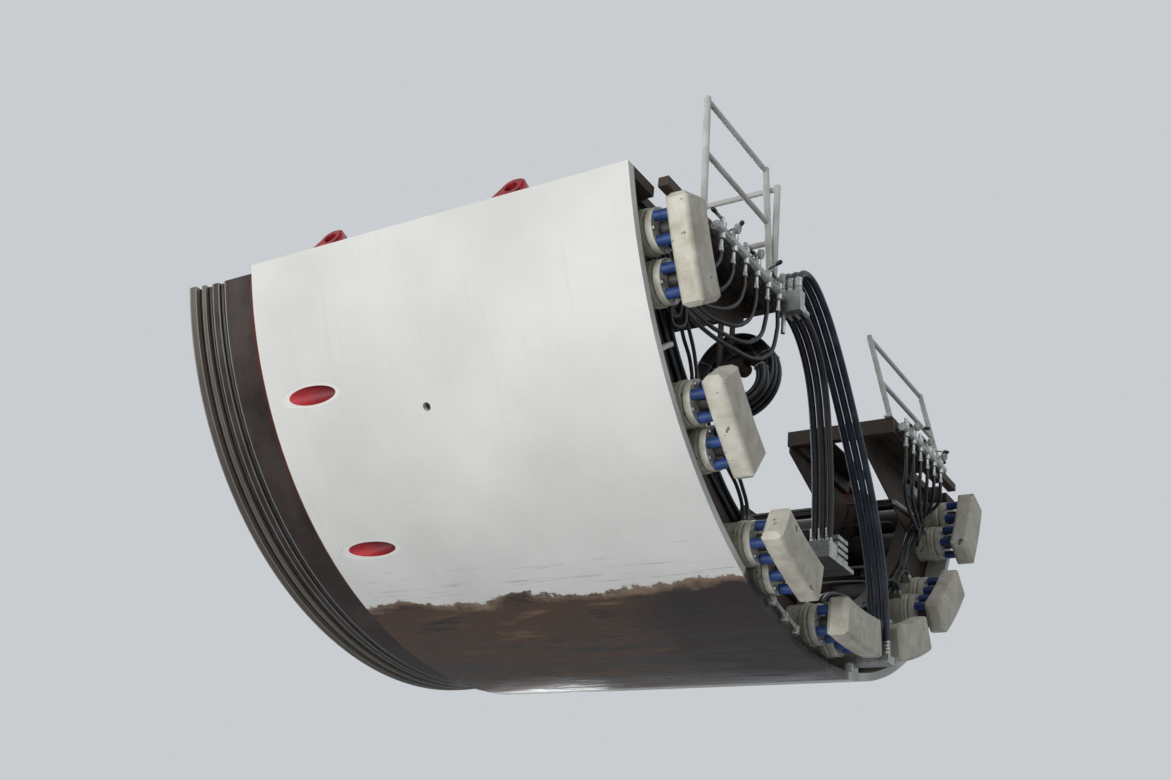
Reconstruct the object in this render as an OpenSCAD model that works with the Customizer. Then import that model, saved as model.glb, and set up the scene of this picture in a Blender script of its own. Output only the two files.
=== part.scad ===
// Lower segment of a tunnel boring machine's middle shield, hung by its four lifting lugs.
// Every module is drawn about the shield's own axis, with X = 0 at the painted skin's front
// edge, +X to the rear and +Z up. in_place() then moves it to the part's frame, whose origin
// is the centre of the four lug eyes. The near side is -Y and the far side is +Y.
// The shield is cut level below its axis, so everything here lies in the lower part.

/* [Shield shell] */
// Outer radius of the painted skin
shield_r = 3135; // [2900:5:3400]
// Thickness of the painted skin
skin_t = 60; // [45:1:80]
// Length of the painted skin
skin_l = 3090; // [3000:10:3400]
// Room between the top barrels and the flange of the level joint
joint_clear = 74; // [40:1:120]

/* [Front spigot] */
// Length of the bare spigot in front of the skin
spigot_l = 700; // [520:10:900]
// How far the spigot's band lies inside the skin's outer surface
spigot_step = 85; // [75:1:110]
// Wall of the spigot
spigot_t = 95; // [70:1:120]
// How far the spigot laps inside the skin
spigot_lap = 110; // [60:5:140]
// Radial depth of the joint flange inside the spigot's front end
nose_flange_h = 90; // [60:5:140]
// Thickness of the joint flange inside the spigot's front end
nose_flange_t = 60; // [40:5:90]

/* [Ring frames] */
// Front face of the front ring
front_ring_x = 150; // [145:5:200]
// Thickness of the front ring
front_ring_t = 80; // [60:5:100]
// Front face of the first middle ring
mid_ring_x = 1150; // [1000:10:1250]
// Front face of the second middle ring
aft_ring_x = 2250; // [2150:10:2300]
// Thickness of the middle rings
mid_ring_t = 45; // [30:1:60]
// Distance of the rear ring's front face from the skin's rear edge
rear_ring_inset = 300; // [290:5:350]
// Thickness of the rear ring
rear_ring_t = 120; // [90:5:130]
// Radial depth of the rings
ring_h = 480; // [460:5:560]
// Thickness of the stringers between the rings
stringer_t = 25; // [16:1:40]
// Radial depth of the stringers
stringer_h = 200; // [120:5:240]

/* [Joint flanges] */
// Width of the joint flange along each cut edge
flange_w = 250; // [220:5:270]
// Thickness of the joint flange
flange_t = 70; // [50:1:80]
// Diameter of the joint's bolt holes
bolt_hole_d = 42; // [30:1:56]
// Distance from the flange's inner edge to the bolt holes
bolt_edge = 70; // [50:1:90]
// Distance of the bolt holes from the rings and from the lugs' pads
bolt_margin = 90; // [60:1:110]

/* [Lifting lugs] */
// Position of the front lugs
front_lug_x = 520; // [400:10:700]
// Position of the rear lugs
rear_lug_x = 2080; // [1900:10:2300]
// Thickness of a lug
lug_t = 80; // [60:1:100]
// Length of a lug at its foot
lug_l = 380; // [300:5:460]
// Height of the eye above the joint
eye_h = 190; // [170:5:240]
// Diameter of the eye
eye_d = 90; // [60:1:110]
// Outer radius of the lug round its eye
eye_rim_r = 100; // [80:1:130]
// Inward lean of the lugs
lug_lean = 22; // [10:1:30]
// Height of the pad under a lug
lug_pad_h = 30; // [20:1:45]
// Width of the pad under a lug
lug_pad_w = 170; // [150:5:200]
// How far a lug's pad stands out past its foot at each end
lug_pad_lap = 20; // [10:1:40]
// How far the lugs stand outwards from the middle of the joint flange
lug_offset = 20; // [0:1:30]

/* [Drill ports] */
// Position of the ports' mouths on the skin
port_x = 390; // [360:5:480]
// Angle of the two ports on each side, from the bottom
port_angles = [34.1, 55.8];
// Bore of a port
port_bore = 130; // [100:1:132]
// Wall of a port's pipe
port_wall = 15; // [8:1:16]
// Slope of a port's pipe to the shield's axis
port_slope = 17.2; // [15:0.1:20]
// Length of a port's pipe
port_l = 1350; // [1200:10:1450]
// Diameter of the flange at a pipe's inner end
port_flange_d = 225; // [200:1:240]
// Diameter of the grease hole in the skin
grease_d = 60; // [40:1:80]
// Position of the grease hole
grease_x = 1343; // [1300:5:1500]
// Angle of the grease hole from the bottom
grease_angle = 51.8; // [50:0.1:53]

/* [Thrust cylinders] */
// Shoes in the whole shield's ring
ring_places = 17; // [16:1:17]
// Distance between the two cylinders of a shoe
pair_gap = 310; // [300:1:330]
// Outer diameter of a barrel
barrel_d = 260; // [240:1:270]
// Bore of a barrel
barrel_bore = 220; // [200:1:225]
// Diameter of a rod
rod_d = 180; // [140:1:190]
// Length of a piston
piston_l = 160; // [120:5:200]
// Stroke of a cylinder
stroke = 2100; // [1800:10:2140]
// Room kept for the rod's guide in a barrel's rear end
guide_l = 350; // [300:10:360]
// Space between a barrel and the skin
barrel_gap = 75; // [60:1:90]
// Diameter of a cylinder's head
head_d = 285; // [275:1:296]
// How far the heads stay inside the skin's rear edge
head_inset = 10; // [0:1:30]
// Gap between a head and the rod's end flange
flange_gap = 8; // [6:1:15]
// Thickness of a rod's end flange
end_flange_t = 45; // [30:1:60]
// Diameter of the neck between a rod and its shoe
neck_d = 110; // [90:1:120]

/* [Thrust shoes] */
// Space between the end flanges and the shoe
shoe_gap = 100; // [80:1:120]
// Thickness of a shoe
shoe_t = 150; // [120:1:200]
// Radial depth of a shoe
shoe_h = 270; // [240:1:300]
// Length of a shoe round the ring
shoe_l = 660; // [600:1:680]
// Rounding of a shoe's long edges
shoe_round = 32; // [15:1:50]
// Bevel of a shoe's end edges
shoe_bevel = 34; // [15:1:50]
// Diameter of a spring sleeve
sleeve_d = 66; // [50:1:68]
// Radius of the circle of spring sleeves
sleeve_circle = 106; // [100:1:110]

/* [Platforms] */
// Height of the platforms above the joint
deck_rise = 65; // [60:1:100]
// Distance of the platforms' inner edge from the middle
deck_in = 1100; // [1000:10:1250]
// How far the platforms stand out behind the skin's rear edge
deck_reach = 90; // [60:5:110]
// Width of a platform's beams
beam_w = 70; // [50:1:80]
// Depth of the beams near the middle
beam_h = 130; // [110:1:150]
// Where the deep beams end, from the middle
beam_end = 2300; // [2200:10:2320]
// Thickness of the deck plates and gussets
plate_t = 12; // [8:1:20]
// Angle round the shield at which the gussets end
gusset_foot = 57; // [52:1:62]
// Width of the deck plate along the rear edge
tread_w = 280; // [220:5:320]
// Diameter of the guard rails' posts
post_d = 48; // [44:1:60]
// Diameter of the guard rails' bars
rail_d = 40; // [30:1:42]
// Height of the near rear panel
rail_h = 1000; // [900:10:1100]
// Height of the near rear panel's middle rail
rear_mid_h = 550; // [450:10:600]
// Forward lean of the near rear panel
rail_lean = 4; // [0:1:8]
// Inward lean of the near rear panel's outer post
post_lean = 4.5; // [0:0.5:6]
// Distance of the near rear panel's outer post from the middle
outer_post_y = 2180; // [2000:10:2250]
// Height of the far rear panel
far_rail_h = 800; // [750:10:900]
// Height of the far rear panel's middle rail
far_mid_h = 370; // [320:10:420]
// Forward lean of the far rear panel
far_lean = 13; // [8:1:16]
// Distance of the far rear panel's outer post from the middle
far_post_y = 2400; // [2300:10:2450]
// Height of the inner panel's upper rail
inner_top_h = 860; // [780:10:890]
// Height of the inner panel's middle rail
inner_mid_h = 420; // [350:10:500]

/* [Hoses and valves] */
// Diameter of the large hoses
hose_d = 50; // [40:1:54]
// Distance between the large hoses of a bundle
hose_pitch = 56; // [55:1:60]
// Diameter of a valve bank's header pipe
header_d = 70; // [50:1:80]
// Diameter of a valve
valve_d = 62; // [50:1:70]
// Height of a valve
valve_h = 120; // [90:1:140]
// Length of a valve's lever
lever_l = 130; // [100:5:160]
// Height of the shelf of valve blocks over the rear ring's inner edge
shelf_rise = 187; // [160:1:220]
// Height of the bracket on the rear rim
rim_block_h = 155; // [130:1:155]
// Diameter of the small hoses coiled under the near platform
loop_hose_d = 34; // [24:1:36]
// Diameter of the pegs that the coils hang on
peg_d = 60; // [40:1:64]
// Depth of the upper peg below the platform
peg_drop = 430; // [420:5:450]
// Depth of the lower peg below the platform
low_peg_drop = 640; // [630:5:660]

/* [Hidden] */
// How far round pieces that are welded or seated stay apart
seat = 0.3;
// Free room round pipes and barrels where they pass through a middle ring
pass_gap = 10;
// A size larger than the part, for cutting
big = 9000;
$fn = 64;
// Sides of the circles as large as the shield
ring_fn = 256;

shoe_pitch = 360 / ring_places;
shoe_numbers = [1:7];
middle_shoe = 4;
function shoe_angle(k) = (k - middle_shoe) * shoe_pitch;

inner_r = shield_r - skin_t;
frame_r = inner_r - seat;
ring_in_r = inner_r - ring_h;
band_r = shield_r - spigot_step;
band_in_r = band_r - spigot_t;

front_ring_back = front_ring_x + front_ring_t;
rear_ring_x = skin_l - rear_ring_inset;
rear_ring_back = rear_ring_x + rear_ring_t;

cyl_pitch_r = inner_r - barrel_gap - barrel_d / 2;
pair_half = asin(pair_gap / 2 / cyl_pitch_r);
head_back = skin_l - head_inset;
end_flange_x = head_back + flange_gap;
sleeve_x = end_flange_x + end_flange_t;
shoe_x = sleeve_x + shoe_gap;
shoe_half = shoe_l / 2 / cyl_pitch_r * 180 / PI;
// Free room in front of a piston at rest
piston_gap = 10;
piston_x = rear_ring_back - guide_l - stroke - piston_l;

// The level joint lies over the top cylinders
top_cylinder_angle = (middle_shoe - 1) * shoe_pitch + pair_half;
split_drop = cyl_pitch_r * cos(top_cylinder_angle) - barrel_d / 2 - joint_clear - flange_t;
split_z = -split_drop;
flange_out_y = sqrt(inner_r * inner_r - split_drop * split_drop);
flange_in_y = flange_out_y - flange_w;
lug_y = flange_in_y + flange_w / 2 + lug_offset;
lug_pad_l = lug_l + 2 * lug_pad_lap;
lug_xs = [front_lug_x, rear_lug_x];
bolt_xs = [
    front_lug_x + lug_pad_l / 2 + bolt_margin, mid_ring_x - bolt_margin,
    mid_ring_x + mid_ring_t + bolt_margin, rear_lug_x - lug_pad_l / 2 - bolt_margin,
    rear_lug_x + lug_pad_l / 2 + bolt_margin, rear_ring_x - bolt_margin];
lift_x = (front_lug_x + rear_lug_x) / 2;
lift_z = split_z + eye_h;

deck_top = split_z + deck_rise;
deck_x0 = aft_ring_x;
deck_x1 = skin_l + deck_reach;
deck_l = deck_x1 - deck_x0;
rail_y = deck_in + beam_w / 2;

module in_place() translate([-lift_x, 0, -lift_z]) children();

// Keeps what lies below the level joint
module below_joint() {
    difference() {
        children();
        translate([-big / 2, -big / 2, split_z]) cube(big);
    }
}

// Turns what is drawn at the bottom to an angle round the shield's axis
module at_angle(a) rotate([a, 0, 0]) children();

// A rod along X, from x0 over a length
module x_rod(x0, l, r) {
    translate([x0, 0, 0]) rotate([0, 90, 0]) cylinder(r = r, h = l, $fn = r > 1000 ? ring_fn : $fn);
}

// A ring plate round the shield's axis
module ring_plate(x0, t, r_out, r_in) {
    difference() {
        x_rod(x0, t, r_out);
        x_rod(x0 - 1, t + 2, r_in);
    }
}

// Copies to the places of the two cylinders of a shoe
module at_cylinders(k) {
    for (side = [-1, 1])
        at_angle(shoe_angle(k) + side * pair_half) translate([0, 0, -cyl_pitch_r]) children();
}

module at_all_cylinders() for (k = shoe_numbers) at_cylinders(k) children();

// Copies to the near side and the far side
module both_sides() {
    children();
    mirror([0, 1, 0]) children();
}

// The line of a drill port, from its mouth rearwards and inwards
module port_rod(a, l, r, start = 0) {
    at_angle(a) translate([port_x, 0, -shield_r]) rotate([0, 90 - port_slope, 0])
        translate([0, 0, start]) cylinder(r = r, h = l, $fn = 96);
}

port_r = port_bore / 2 + port_wall;
port_reach = 400;
port_flange_t = 30;
port_recess = 3;

module all_port_rods(r) {
    both_sides() for (a = port_angles) port_rod(a, port_l + port_reach, r, -port_reach);
}

module skin_shell() {
    color("white") in_place() below_joint() difference() {
        ring_plate(0, skin_l, shield_r, inner_r);
        all_port_rods(port_r + seat);
        both_sides() at_angle(grease_angle) translate([grease_x, 0, -shield_r - 10])
            cylinder(d = grease_d, h = skin_t + 20);
    }
}

// Steps of the spigot's outer side from its front end: [length, depth below the band]
spigot_steps = [[70, -25], [45, 22], [40, -12], [55, 26], [70, 0], [55, 26], [40, 0]];
function steps_before(i) = i == 0 ? 0 : spigot_steps[i - 1][0] + steps_before(i - 1);
spigot_outline = concat(
    [for (i = [0:len(spigot_steps) - 1], end = [0, 1])
        [band_r - spigot_steps[i][1], -spigot_l + steps_before(i) + end * spigot_steps[i][0]]],
    [[band_r, 0], [frame_r, 0], [frame_r, spigot_lap], [band_in_r, spigot_lap],
     [band_in_r, -spigot_l + nose_flange_t], [band_in_r - nose_flange_h, -spigot_l + nose_flange_t],
     [band_in_r - nose_flange_h, -spigot_l]]);

module front_spigot() {
    color("dimgray") in_place() below_joint()
        rotate([0, 90, 0]) rotate_extrude($fn = ring_fn) polygon(spigot_outline);
}

module front_ring_frame() {
    color("saddlebrown") in_place() below_joint()
        ring_plate(front_ring_x, front_ring_t, frame_r, ring_in_r);
}

module mid_ring(x0) {
    below_joint() difference() {
        ring_plate(x0, mid_ring_t, frame_r, ring_in_r);
        at_all_cylinders() x_rod(x0 - 1, mid_ring_t + 2, barrel_d / 2 + pass_gap);
        all_port_rods(port_r + pass_gap);
    }
}

module mid_ring_frame() color("saddlebrown") in_place() mid_ring(mid_ring_x);

module aft_ring_frame() color("saddlebrown") in_place() mid_ring(aft_ring_x);

module rear_ring_frame() {
    color("saddlebrown") in_place() below_joint() difference() {
        ring_plate(rear_ring_x, rear_ring_t, frame_r, ring_in_r);
        at_all_cylinders() x_rod(rear_ring_x - 1, rear_ring_t + 2, barrel_d / 2 + seat);
    }
}

// Bays of the stringers between the rings: [front end, rear end]
stringer_bays = [
    [front_ring_back, mid_ring_x],
    [mid_ring_x + mid_ring_t, aft_ring_x],
    [aft_ring_x + mid_ring_t, rear_ring_x]];

module stringers() {
    color("saddlebrown") in_place() for (bay = stringer_bays, gap = [0.5, 1.5, 2.5]) both_sides()
        at_angle(gap * shoe_pitch)
            translate([bay[0], -stringer_t / 2, -frame_r])
                cube([bay[1] - bay[0], stringer_t, stringer_h]);
}

module joint_flange() {
    difference() {
        intersection() {
            translate([0, flange_in_y, split_z - flange_t]) cube([skin_l, 2 * flange_w, flange_t]);
            x_rod(0, skin_l, frame_r);
        }
        for (ring = [[front_ring_x, front_ring_t], [mid_ring_x, mid_ring_t],
                     [aft_ring_x, mid_ring_t], [rear_ring_x, rear_ring_t]])
            translate([ring[0], 0, split_z - big / 2]) cube([ring[1], big, big]);
        translate([-1, 0, split_z - big / 2]) cube([spigot_lap + 1, big, big]);
        for (x = bolt_xs) translate([x, flange_in_y + bolt_edge, split_z - flange_t - 1])
            cylinder(d = bolt_hole_d, h = flange_t + 2);
    }
}

module joint_flanges() color("saddlebrown") in_place() both_sides() joint_flange();

module drill_pipe(a) {
    difference() {
        union() {
            port_rod(a, port_l + port_reach, port_r, -port_reach);
            port_rod(a, port_flange_t, port_flange_d / 2, port_l - port_flange_t);
        }
        port_rod(a, port_l + 2 * port_reach, port_bore / 2, -port_reach);
        at_angle(a) translate([-big / 2, -big / 2, -shield_r - big + port_recess]) cube(big);
    }
}

module drill_pipes() {
    color("firebrick") in_place() both_sides() for (a = port_angles) drill_pipe(a);
}

// One lug stands on the joint flange and leans inwards, its eye over the flange
module lifting_lug() {
    foot_y = lug_y;
    rise = eye_h / cos(lug_lean);
    difference() {
        union() {
            translate([-lug_pad_l / 2, foot_y - lug_pad_w / 2, split_z])
                cube([lug_pad_l, lug_pad_w, lug_pad_h]);
            translate([0, foot_y, split_z]) rotate([lug_lean, 0, 0]) rotate([90, 0, 0])
                translate([0, 0, -lug_t / 2]) linear_extrude(lug_t) lug_outline(rise);
        }
        translate([0, foot_y, split_z]) rotate([lug_lean, 0, 0]) translate([0, 0, rise])
            rotate([90, 0, 0]) translate([0, 0, -lug_t]) cylinder(d = eye_d, h = 2 * lug_t);
        translate([-big / 2, -big / 2, split_z - big]) cube(big);
    }
}

// Outline of a lug's plate: a foot with sides that run up to the rim round the eye
lug_foot_h = 60;
module lug_outline(rise) {
    run = lug_l / 2;
    climb = rise - lug_foot_h;
    reach = sqrt(run * run + climb * climb);
    side_a = atan2(climb, run) + asin(eye_rim_r / reach);
    touch = [sin(side_a) * eye_rim_r, rise + cos(side_a) * eye_rim_r];
    translate([0, rise]) circle(r = eye_rim_r);
    polygon([[-run, -lug_foot_h], [run, -lug_foot_h], [run, lug_foot_h], touch, [-touch[0], touch[1]],
             [-run, lug_foot_h]]);
}

module lifting_lugs() {
    color("red") in_place() both_sides() for (x = lug_xs) translate([x, 0, 0]) lifting_lug();
}

module cylinder_barrels() {
    color("dimgray") in_place() at_all_cylinders() difference() {
        x_rod(front_ring_back, rear_ring_back - front_ring_back, barrel_d / 2);
        x_rod(piston_x - piston_gap, big, barrel_bore / 2);
    }
}

module cylinder_heads() {
    color("ghostwhite") in_place() at_all_cylinders() difference() {
        x_rod(rear_ring_back, head_back - rear_ring_back, head_d / 2);
        x_rod(rear_ring_back - 1, big, rod_d / 2 + seat);
    }
}

// Two rods with their pistons, end flanges and necks
module rods(k) {
    color("ghostwhite") in_place() at_cylinders(k) {
        x_rod(piston_x, piston_l, barrel_bore / 2 - seat);
        x_rod(piston_x + piston_l - 1, end_flange_x - piston_x - piston_l + 2, rod_d / 2);
        x_rod(end_flange_x, end_flange_t, head_d / 2);
        x_rod(sleeve_x - 1, shoe_gap - seat + 1, neck_d / 2);
    }
}

module spring_sleeves(k) {
    color("royalblue") in_place() at_cylinders(k) for (a = [45:90:315])
        rotate([a, 0, 0]) translate([0, 0, sleeve_circle]) x_rod(sleeve_x, shoe_gap - seat, sleeve_d / 2);
}

// Section of a shoe, with rounded corners, as [distance from the axis, length along the axis]
module shoe_section() {
    r0 = cyl_pitch_r - shoe_h / 2;
    translate([r0 + shoe_round, 0]) square([shoe_h - 2 * shoe_round, shoe_t]);
    translate([r0, shoe_round]) square([shoe_h, shoe_t - 2 * shoe_round]);
    for (u = [0, 1], v = [0, 1])
        translate([r0 + shoe_round + u * (shoe_h - 2 * shoe_round),
                   shoe_round + v * (shoe_t - 2 * shoe_round)]) circle(r = shoe_round, $fn = 32);
}

module shoe_end_bevels() {
    side = shoe_bevel * sqrt(2);
    for (x = [0, shoe_t]) translate([shoe_x + x, 0, -cyl_pitch_r]) rotate([0, 0, 45])
        cube([side, side, 2 * shoe_h], center = true);
    for (z = [-1, 1]) translate([shoe_x + shoe_t / 2, 0, -cyl_pitch_r + z * shoe_h / 2])
        rotate([45, 0, 0]) cube([2 * shoe_t, side, side], center = true);
}

module shoe(k) {
    color("linen") in_place() at_angle(shoe_angle(k)) difference() {
        translate([shoe_x, 0, 0]) rotate([0, 90, 0]) rotate([0, 0, -shoe_half])
            rotate_extrude(angle = 2 * shoe_half, $fn = ring_fn) shoe_section();
        for (end = [-1, 1]) at_angle(end * shoe_half) shoe_end_bevels();
    }
}

// A beam across the platform at x0: deep near the middle and shallow over the cylinders, where it
// stays above the level joint
arm_h = deck_rise - seat;
module cross_beam(x0) {
    translate([x0, rail_y, deck_top - beam_h]) cube([beam_w, beam_end - rail_y, beam_h]);
    translate([x0, beam_end - 1, deck_top - arm_h])
        cube([beam_w, end_plate_y - beam_end + plate_t / 2 + 1, arm_h]);
}

end_plate_w = 120;
end_plate_y = flange_in_y - plate_t - seat;
// Depth of a gusset at the platform's inner edge
gusset_nose = 60;
aft_gusset_x = aft_ring_x + (mid_ring_t - plate_t) / 2;
rear_gusset_x = rear_ring_back - plate_t;

// The plate that carries a cross beam from a ring frame's inner edge
module deck_gusset(x0) {
    under = deck_top - beam_h;
    foot_y = ring_in_r * sin(gusset_foot);
    foot_z = -ring_in_r * cos(gusset_foot);
    translate([x0, 0, 0]) rotate([90, 0, 90]) linear_extrude(plate_t) intersection() {
        polygon([[deck_in, under], [deck_in, under - gusset_nose], [foot_y, foot_z],
                 [ring_in_r, foot_z], [beam_end, under]]);
        circle(r = ring_in_r - seat, $fn = ring_fn);
    }
}

// Plate from x that joins a cross beam's outer end to the joint flange, clear of the ring frames
module beam_end_plate(x) {
    translate([x, end_plate_y, split_z - flange_t]) cube([end_plate_w, plate_t, deck_rise + flange_t]);
}

module platform() {
    union() {
        translate([deck_x0, deck_in, deck_top - beam_h]) cube([deck_l, beam_w, beam_h]);
        for (x = [deck_x0, rear_gusset_x + (plate_t - beam_w) / 2, deck_x1 - beam_w]) cross_beam(x);
        translate([deck_x1 - tread_w, deck_in + 1, deck_top - plate_t])
            cube([tread_w - 1, beam_end - deck_in - 1, plate_t]);
        translate([deck_x0 + 1, deck_in + 1, deck_top - plate_t])
            cube([tread_w - 1, beam_end - deck_in - 1, plate_t]);
        for (x = [aft_gusset_x, rear_gusset_x]) deck_gusset(x);
        for (x = [aft_ring_x + mid_ring_t + seat, rear_ring_back + seat]) beam_end_plate(x);
    }
}

// Two pegs point inwards from straps under the near platform's rear gusset and carry coils of
// small hose. The lower peg stands behind the upper one, on an arm from its strap.
peg_x = rear_gusset_x + plate_t / 2;
low_peg_back = 130;
low_peg_x = peg_x + low_peg_back;
peg_stop_t = 8;
peg_stop_rim = 20;
strap_w = 60;
strap_edge = 15;
coil_gap = 4;
// The coils' turns, as [radius of the innermost, number]
upper_turns = [214, 3];
lower_turns = [140, 2];
upper_coil_ys = [1080, 1140, 1200];
lower_coil_ys = [1310, 1365];
coil_edge = loop_hose_d / 2 + coil_gap;
upper_strap_y = upper_coil_ys[len(upper_coil_ys) - 1] + coil_edge;
lower_strap_y = lower_coil_ys[len(lower_coil_ys) - 1] + coil_edge;

// A peg at x that runs outwards from a stop beside its first coil to y
module peg(x, drop, first_coil_y, y) {
    y0 = first_coil_y - coil_edge - peg_stop_t;
    translate([x, y0, deck_top - drop]) rotate([-90, 0, 0]) {
        cylinder(d = peg_d, h = y - y0);
        cylinder(d = peg_d + 2 * peg_stop_rim, h = peg_stop_t);
    }
}

// A strap in the gusset's plane, from a height up to a drop below the platform
module strap(y, drop, top_drop) {
    translate([rear_gusset_x, y, deck_top - drop - peg_d / 2 - strap_edge])
        cube([plate_t, strap_w, drop - top_drop + peg_d / 2 + strap_edge]);
}

module coil_pegs() {
    gusset_drop = beam_h + gusset_nose;
    peg(peg_x, peg_drop, upper_coil_ys[0], upper_strap_y + strap_w / 2);
    strap(upper_strap_y, peg_drop, gusset_drop);
    peg(low_peg_x, low_peg_drop, lower_coil_ys[0], lower_strap_y + plate_t);
    strap(lower_strap_y, low_peg_drop, gusset_drop);
    translate([rear_gusset_x, lower_strap_y, deck_top - low_peg_drop - peg_d / 2])
        cube([low_peg_x - rear_gusset_x + peg_d / 2, plate_t, peg_d]);
}

module platform_near() {
    color("sienna") in_place() mirror([0, 1, 0]) union() {
        platform();
        coil_pegs();
    }
}

module platform_far() color("sienna") in_place() platform();

// A post that stands on the deck
module post(x, y, h) translate([x, y, deck_top]) cylinder(d = post_d, h = h + post_d / 2, $fn = 32);

// A panel of two posts and two rails along the platform's rear beam, that leans forwards, its
// outer post also inwards
rear_rail_x = deck_x1 - beam_w / 2;
corner_gap = 6;
near_panel_y = rail_y + post_d + corner_gap;
module rear_panel(h, mid_h, lean, y0, y1, outer_lean) {
    difference() {
        translate([rear_rail_x, 0, deck_top]) rotate([0, -lean, 0]) {
            translate([0, y0, -post_d]) cylinder(d = post_d, h = h + 1.5 * post_d, $fn = 32);
            translate([0, y1, 0]) rotate([outer_lean, 0, 0]) translate([0, 0, -post_d])
                cylinder(d = post_d, h = h / cos(outer_lean) + 1.5 * post_d, $fn = 32);
            for (z = [mid_h, h]) translate([0, y0, z]) rotate([-90, 0, 0])
                cylinder(d = rail_d, h = y1 - z * tan(outer_lean) - y0, $fn = 32);
        }
        translate([-big / 2, -big / 2, deck_top - big]) cube(big);
    }
}

// Plate at the foot of the inner panel's front post: [along from the post, height]
foot_plate = [[-110, 150], [60, 150], [60, 0], [0, 0]];
module inner_panel() {
    x0 = deck_x0 + beam_w;
    x1 = rear_rail_x;
    for (x = [x0, x1]) post(x, rail_y, inner_top_h);
    for (h = [inner_mid_h, inner_top_h])
        translate([x0, rail_y, deck_top + h]) rotate([0, 90, 0]) cylinder(d = rail_d, h = x1 - x0, $fn = 32);
    translate([x0, rail_y + plate_t / 2, deck_top]) rotate([90, 0, 0])
        linear_extrude(plate_t) polygon(foot_plate);
}

module rear_rail_near() {
    color("white") in_place() mirror([0, 1, 0])
        rear_panel(rail_h, rear_mid_h, rail_lean, near_panel_y, outer_post_y, post_lean);
}

module rear_rail_far() {
    color("white") in_place() rear_panel(far_rail_h, far_mid_h, far_lean, rail_y, far_post_y, 0);
}

module inner_rail_near() color("white") in_place() mirror([0, 1, 0]) inner_panel();

// A header pipe along the platform's rear beam, with a row of lever valves on it
lever_turns = [90, 25, 90, -90, 40, 90];
valve_count = len(lever_turns);
header_inset = 60;
header_gap = 20;
header_y0 = deck_in + header_inset;
header_l = outer_post_y - header_y0;
header_z = deck_top - beam_h / 2;
header_x = deck_x1 + header_d / 2 + header_gap;
bracket_w = 30;
bonnet_d = 36;
bonnet_h = 42;
lever_w = 24;
lever_t = 8;
tail_d = 34;
tail_l = 70;

module valve(lever_turn) {
    top = valve_h / 2 + bonnet_h;
    translate([0, 0, -valve_h / 2]) cylinder(d = valve_d, h = valve_h);
    translate([0, 0, -valve_h / 2 - tail_l]) cylinder(d = tail_d, h = top + tail_l + valve_h / 2);
    translate([0, 0, valve_h / 2]) cylinder(d = bonnet_d, h = bonnet_h / 2);
    rotate([0, 0, lever_turn]) translate([0, -lever_w / 2, top - 2 * lever_t])
        cube([lever_l, lever_w, lever_t]);
}

module valve_bank() {
    translate([header_x, header_y0, header_z]) rotate([-90, 0, 0]) cylinder(d = header_d, h = header_l);
    for (i = [0:valve_count - 1]) {
        y = header_y0 + (i + 0.5) * header_l / valve_count;
        translate([header_x, y, header_z]) valve(lever_turns[i]);
        translate([deck_x1, y - bracket_w / 2, header_z - bracket_w / 2])
            cube([header_x - deck_x1, bracket_w, bracket_w]);
    }
}

// The block on the near bank that the large hoses leave, facing the middle
hose_count = 3;
outlet_edge = 7;
outlet_lap = 10;
outlet_drop = 20;
outlet_h = 155;
outlet_x0 = deck_x1;
outlet_w = hose_count * hose_pitch + 2 * outlet_edge;
module hose_outlet() {
    translate([outlet_x0, deck_in - outlet_lap, deck_top - outlet_drop - outlet_h])
        cube([outlet_w, header_inset + outlet_lap + 2, outlet_h]);
}

module valve_bank_near() {
    color("silver") in_place() mirror([0, 1, 0]) {
        valve_bank();
        hose_outlet();
    }
}

module valve_bank_far() color("silver") in_place() valve_bank();

// Routes of the large hoses as [across, up]: the near hoses leave the outlet level, the rim hoses
// leave it upwards
near_route = [
    [-1090, -930], [-1010, -934], [-920, -948], [-830, -975], [-745, -1015], [-665, -1070],
    [-590, -1140], [-520, -1230], [-460, -1340], [-408, -1470], [-362, -1610], [-322, -1760],
    [-290, -1910], [-265, -2060], [-248, -2200], [-242, -2317.5]];
rim_route = [
    [-1126, -819.65], [-1124, -755], [-1106, -695], [-1066, -648], [-1008, -618], [-938, -607],
    [-862, -616], [-780, -645], [-690, -695], [-595, -762], [-495, -850], [-385, -962],
    [-265, -1098], [-140, -1252], [-10, -1422], [120, -1600], [245, -1790], [355, -1990],
    [440, -2190], [500, -2400], [533, -2610], [545, -2780], [549, -2919]];
near_end = near_route[len(near_route) - 1];
rim_end = rim_route[len(rim_route) - 1];
first_hose_x = outlet_x0 + outlet_edge + hose_pitch / 2;
// How far behind the rear ring the manifold lies
manifold_back = 150;
manifold_x0 = rear_ring_back + manifold_back;
near_hose_shift = outlet_x0 - manifold_x0;

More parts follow.
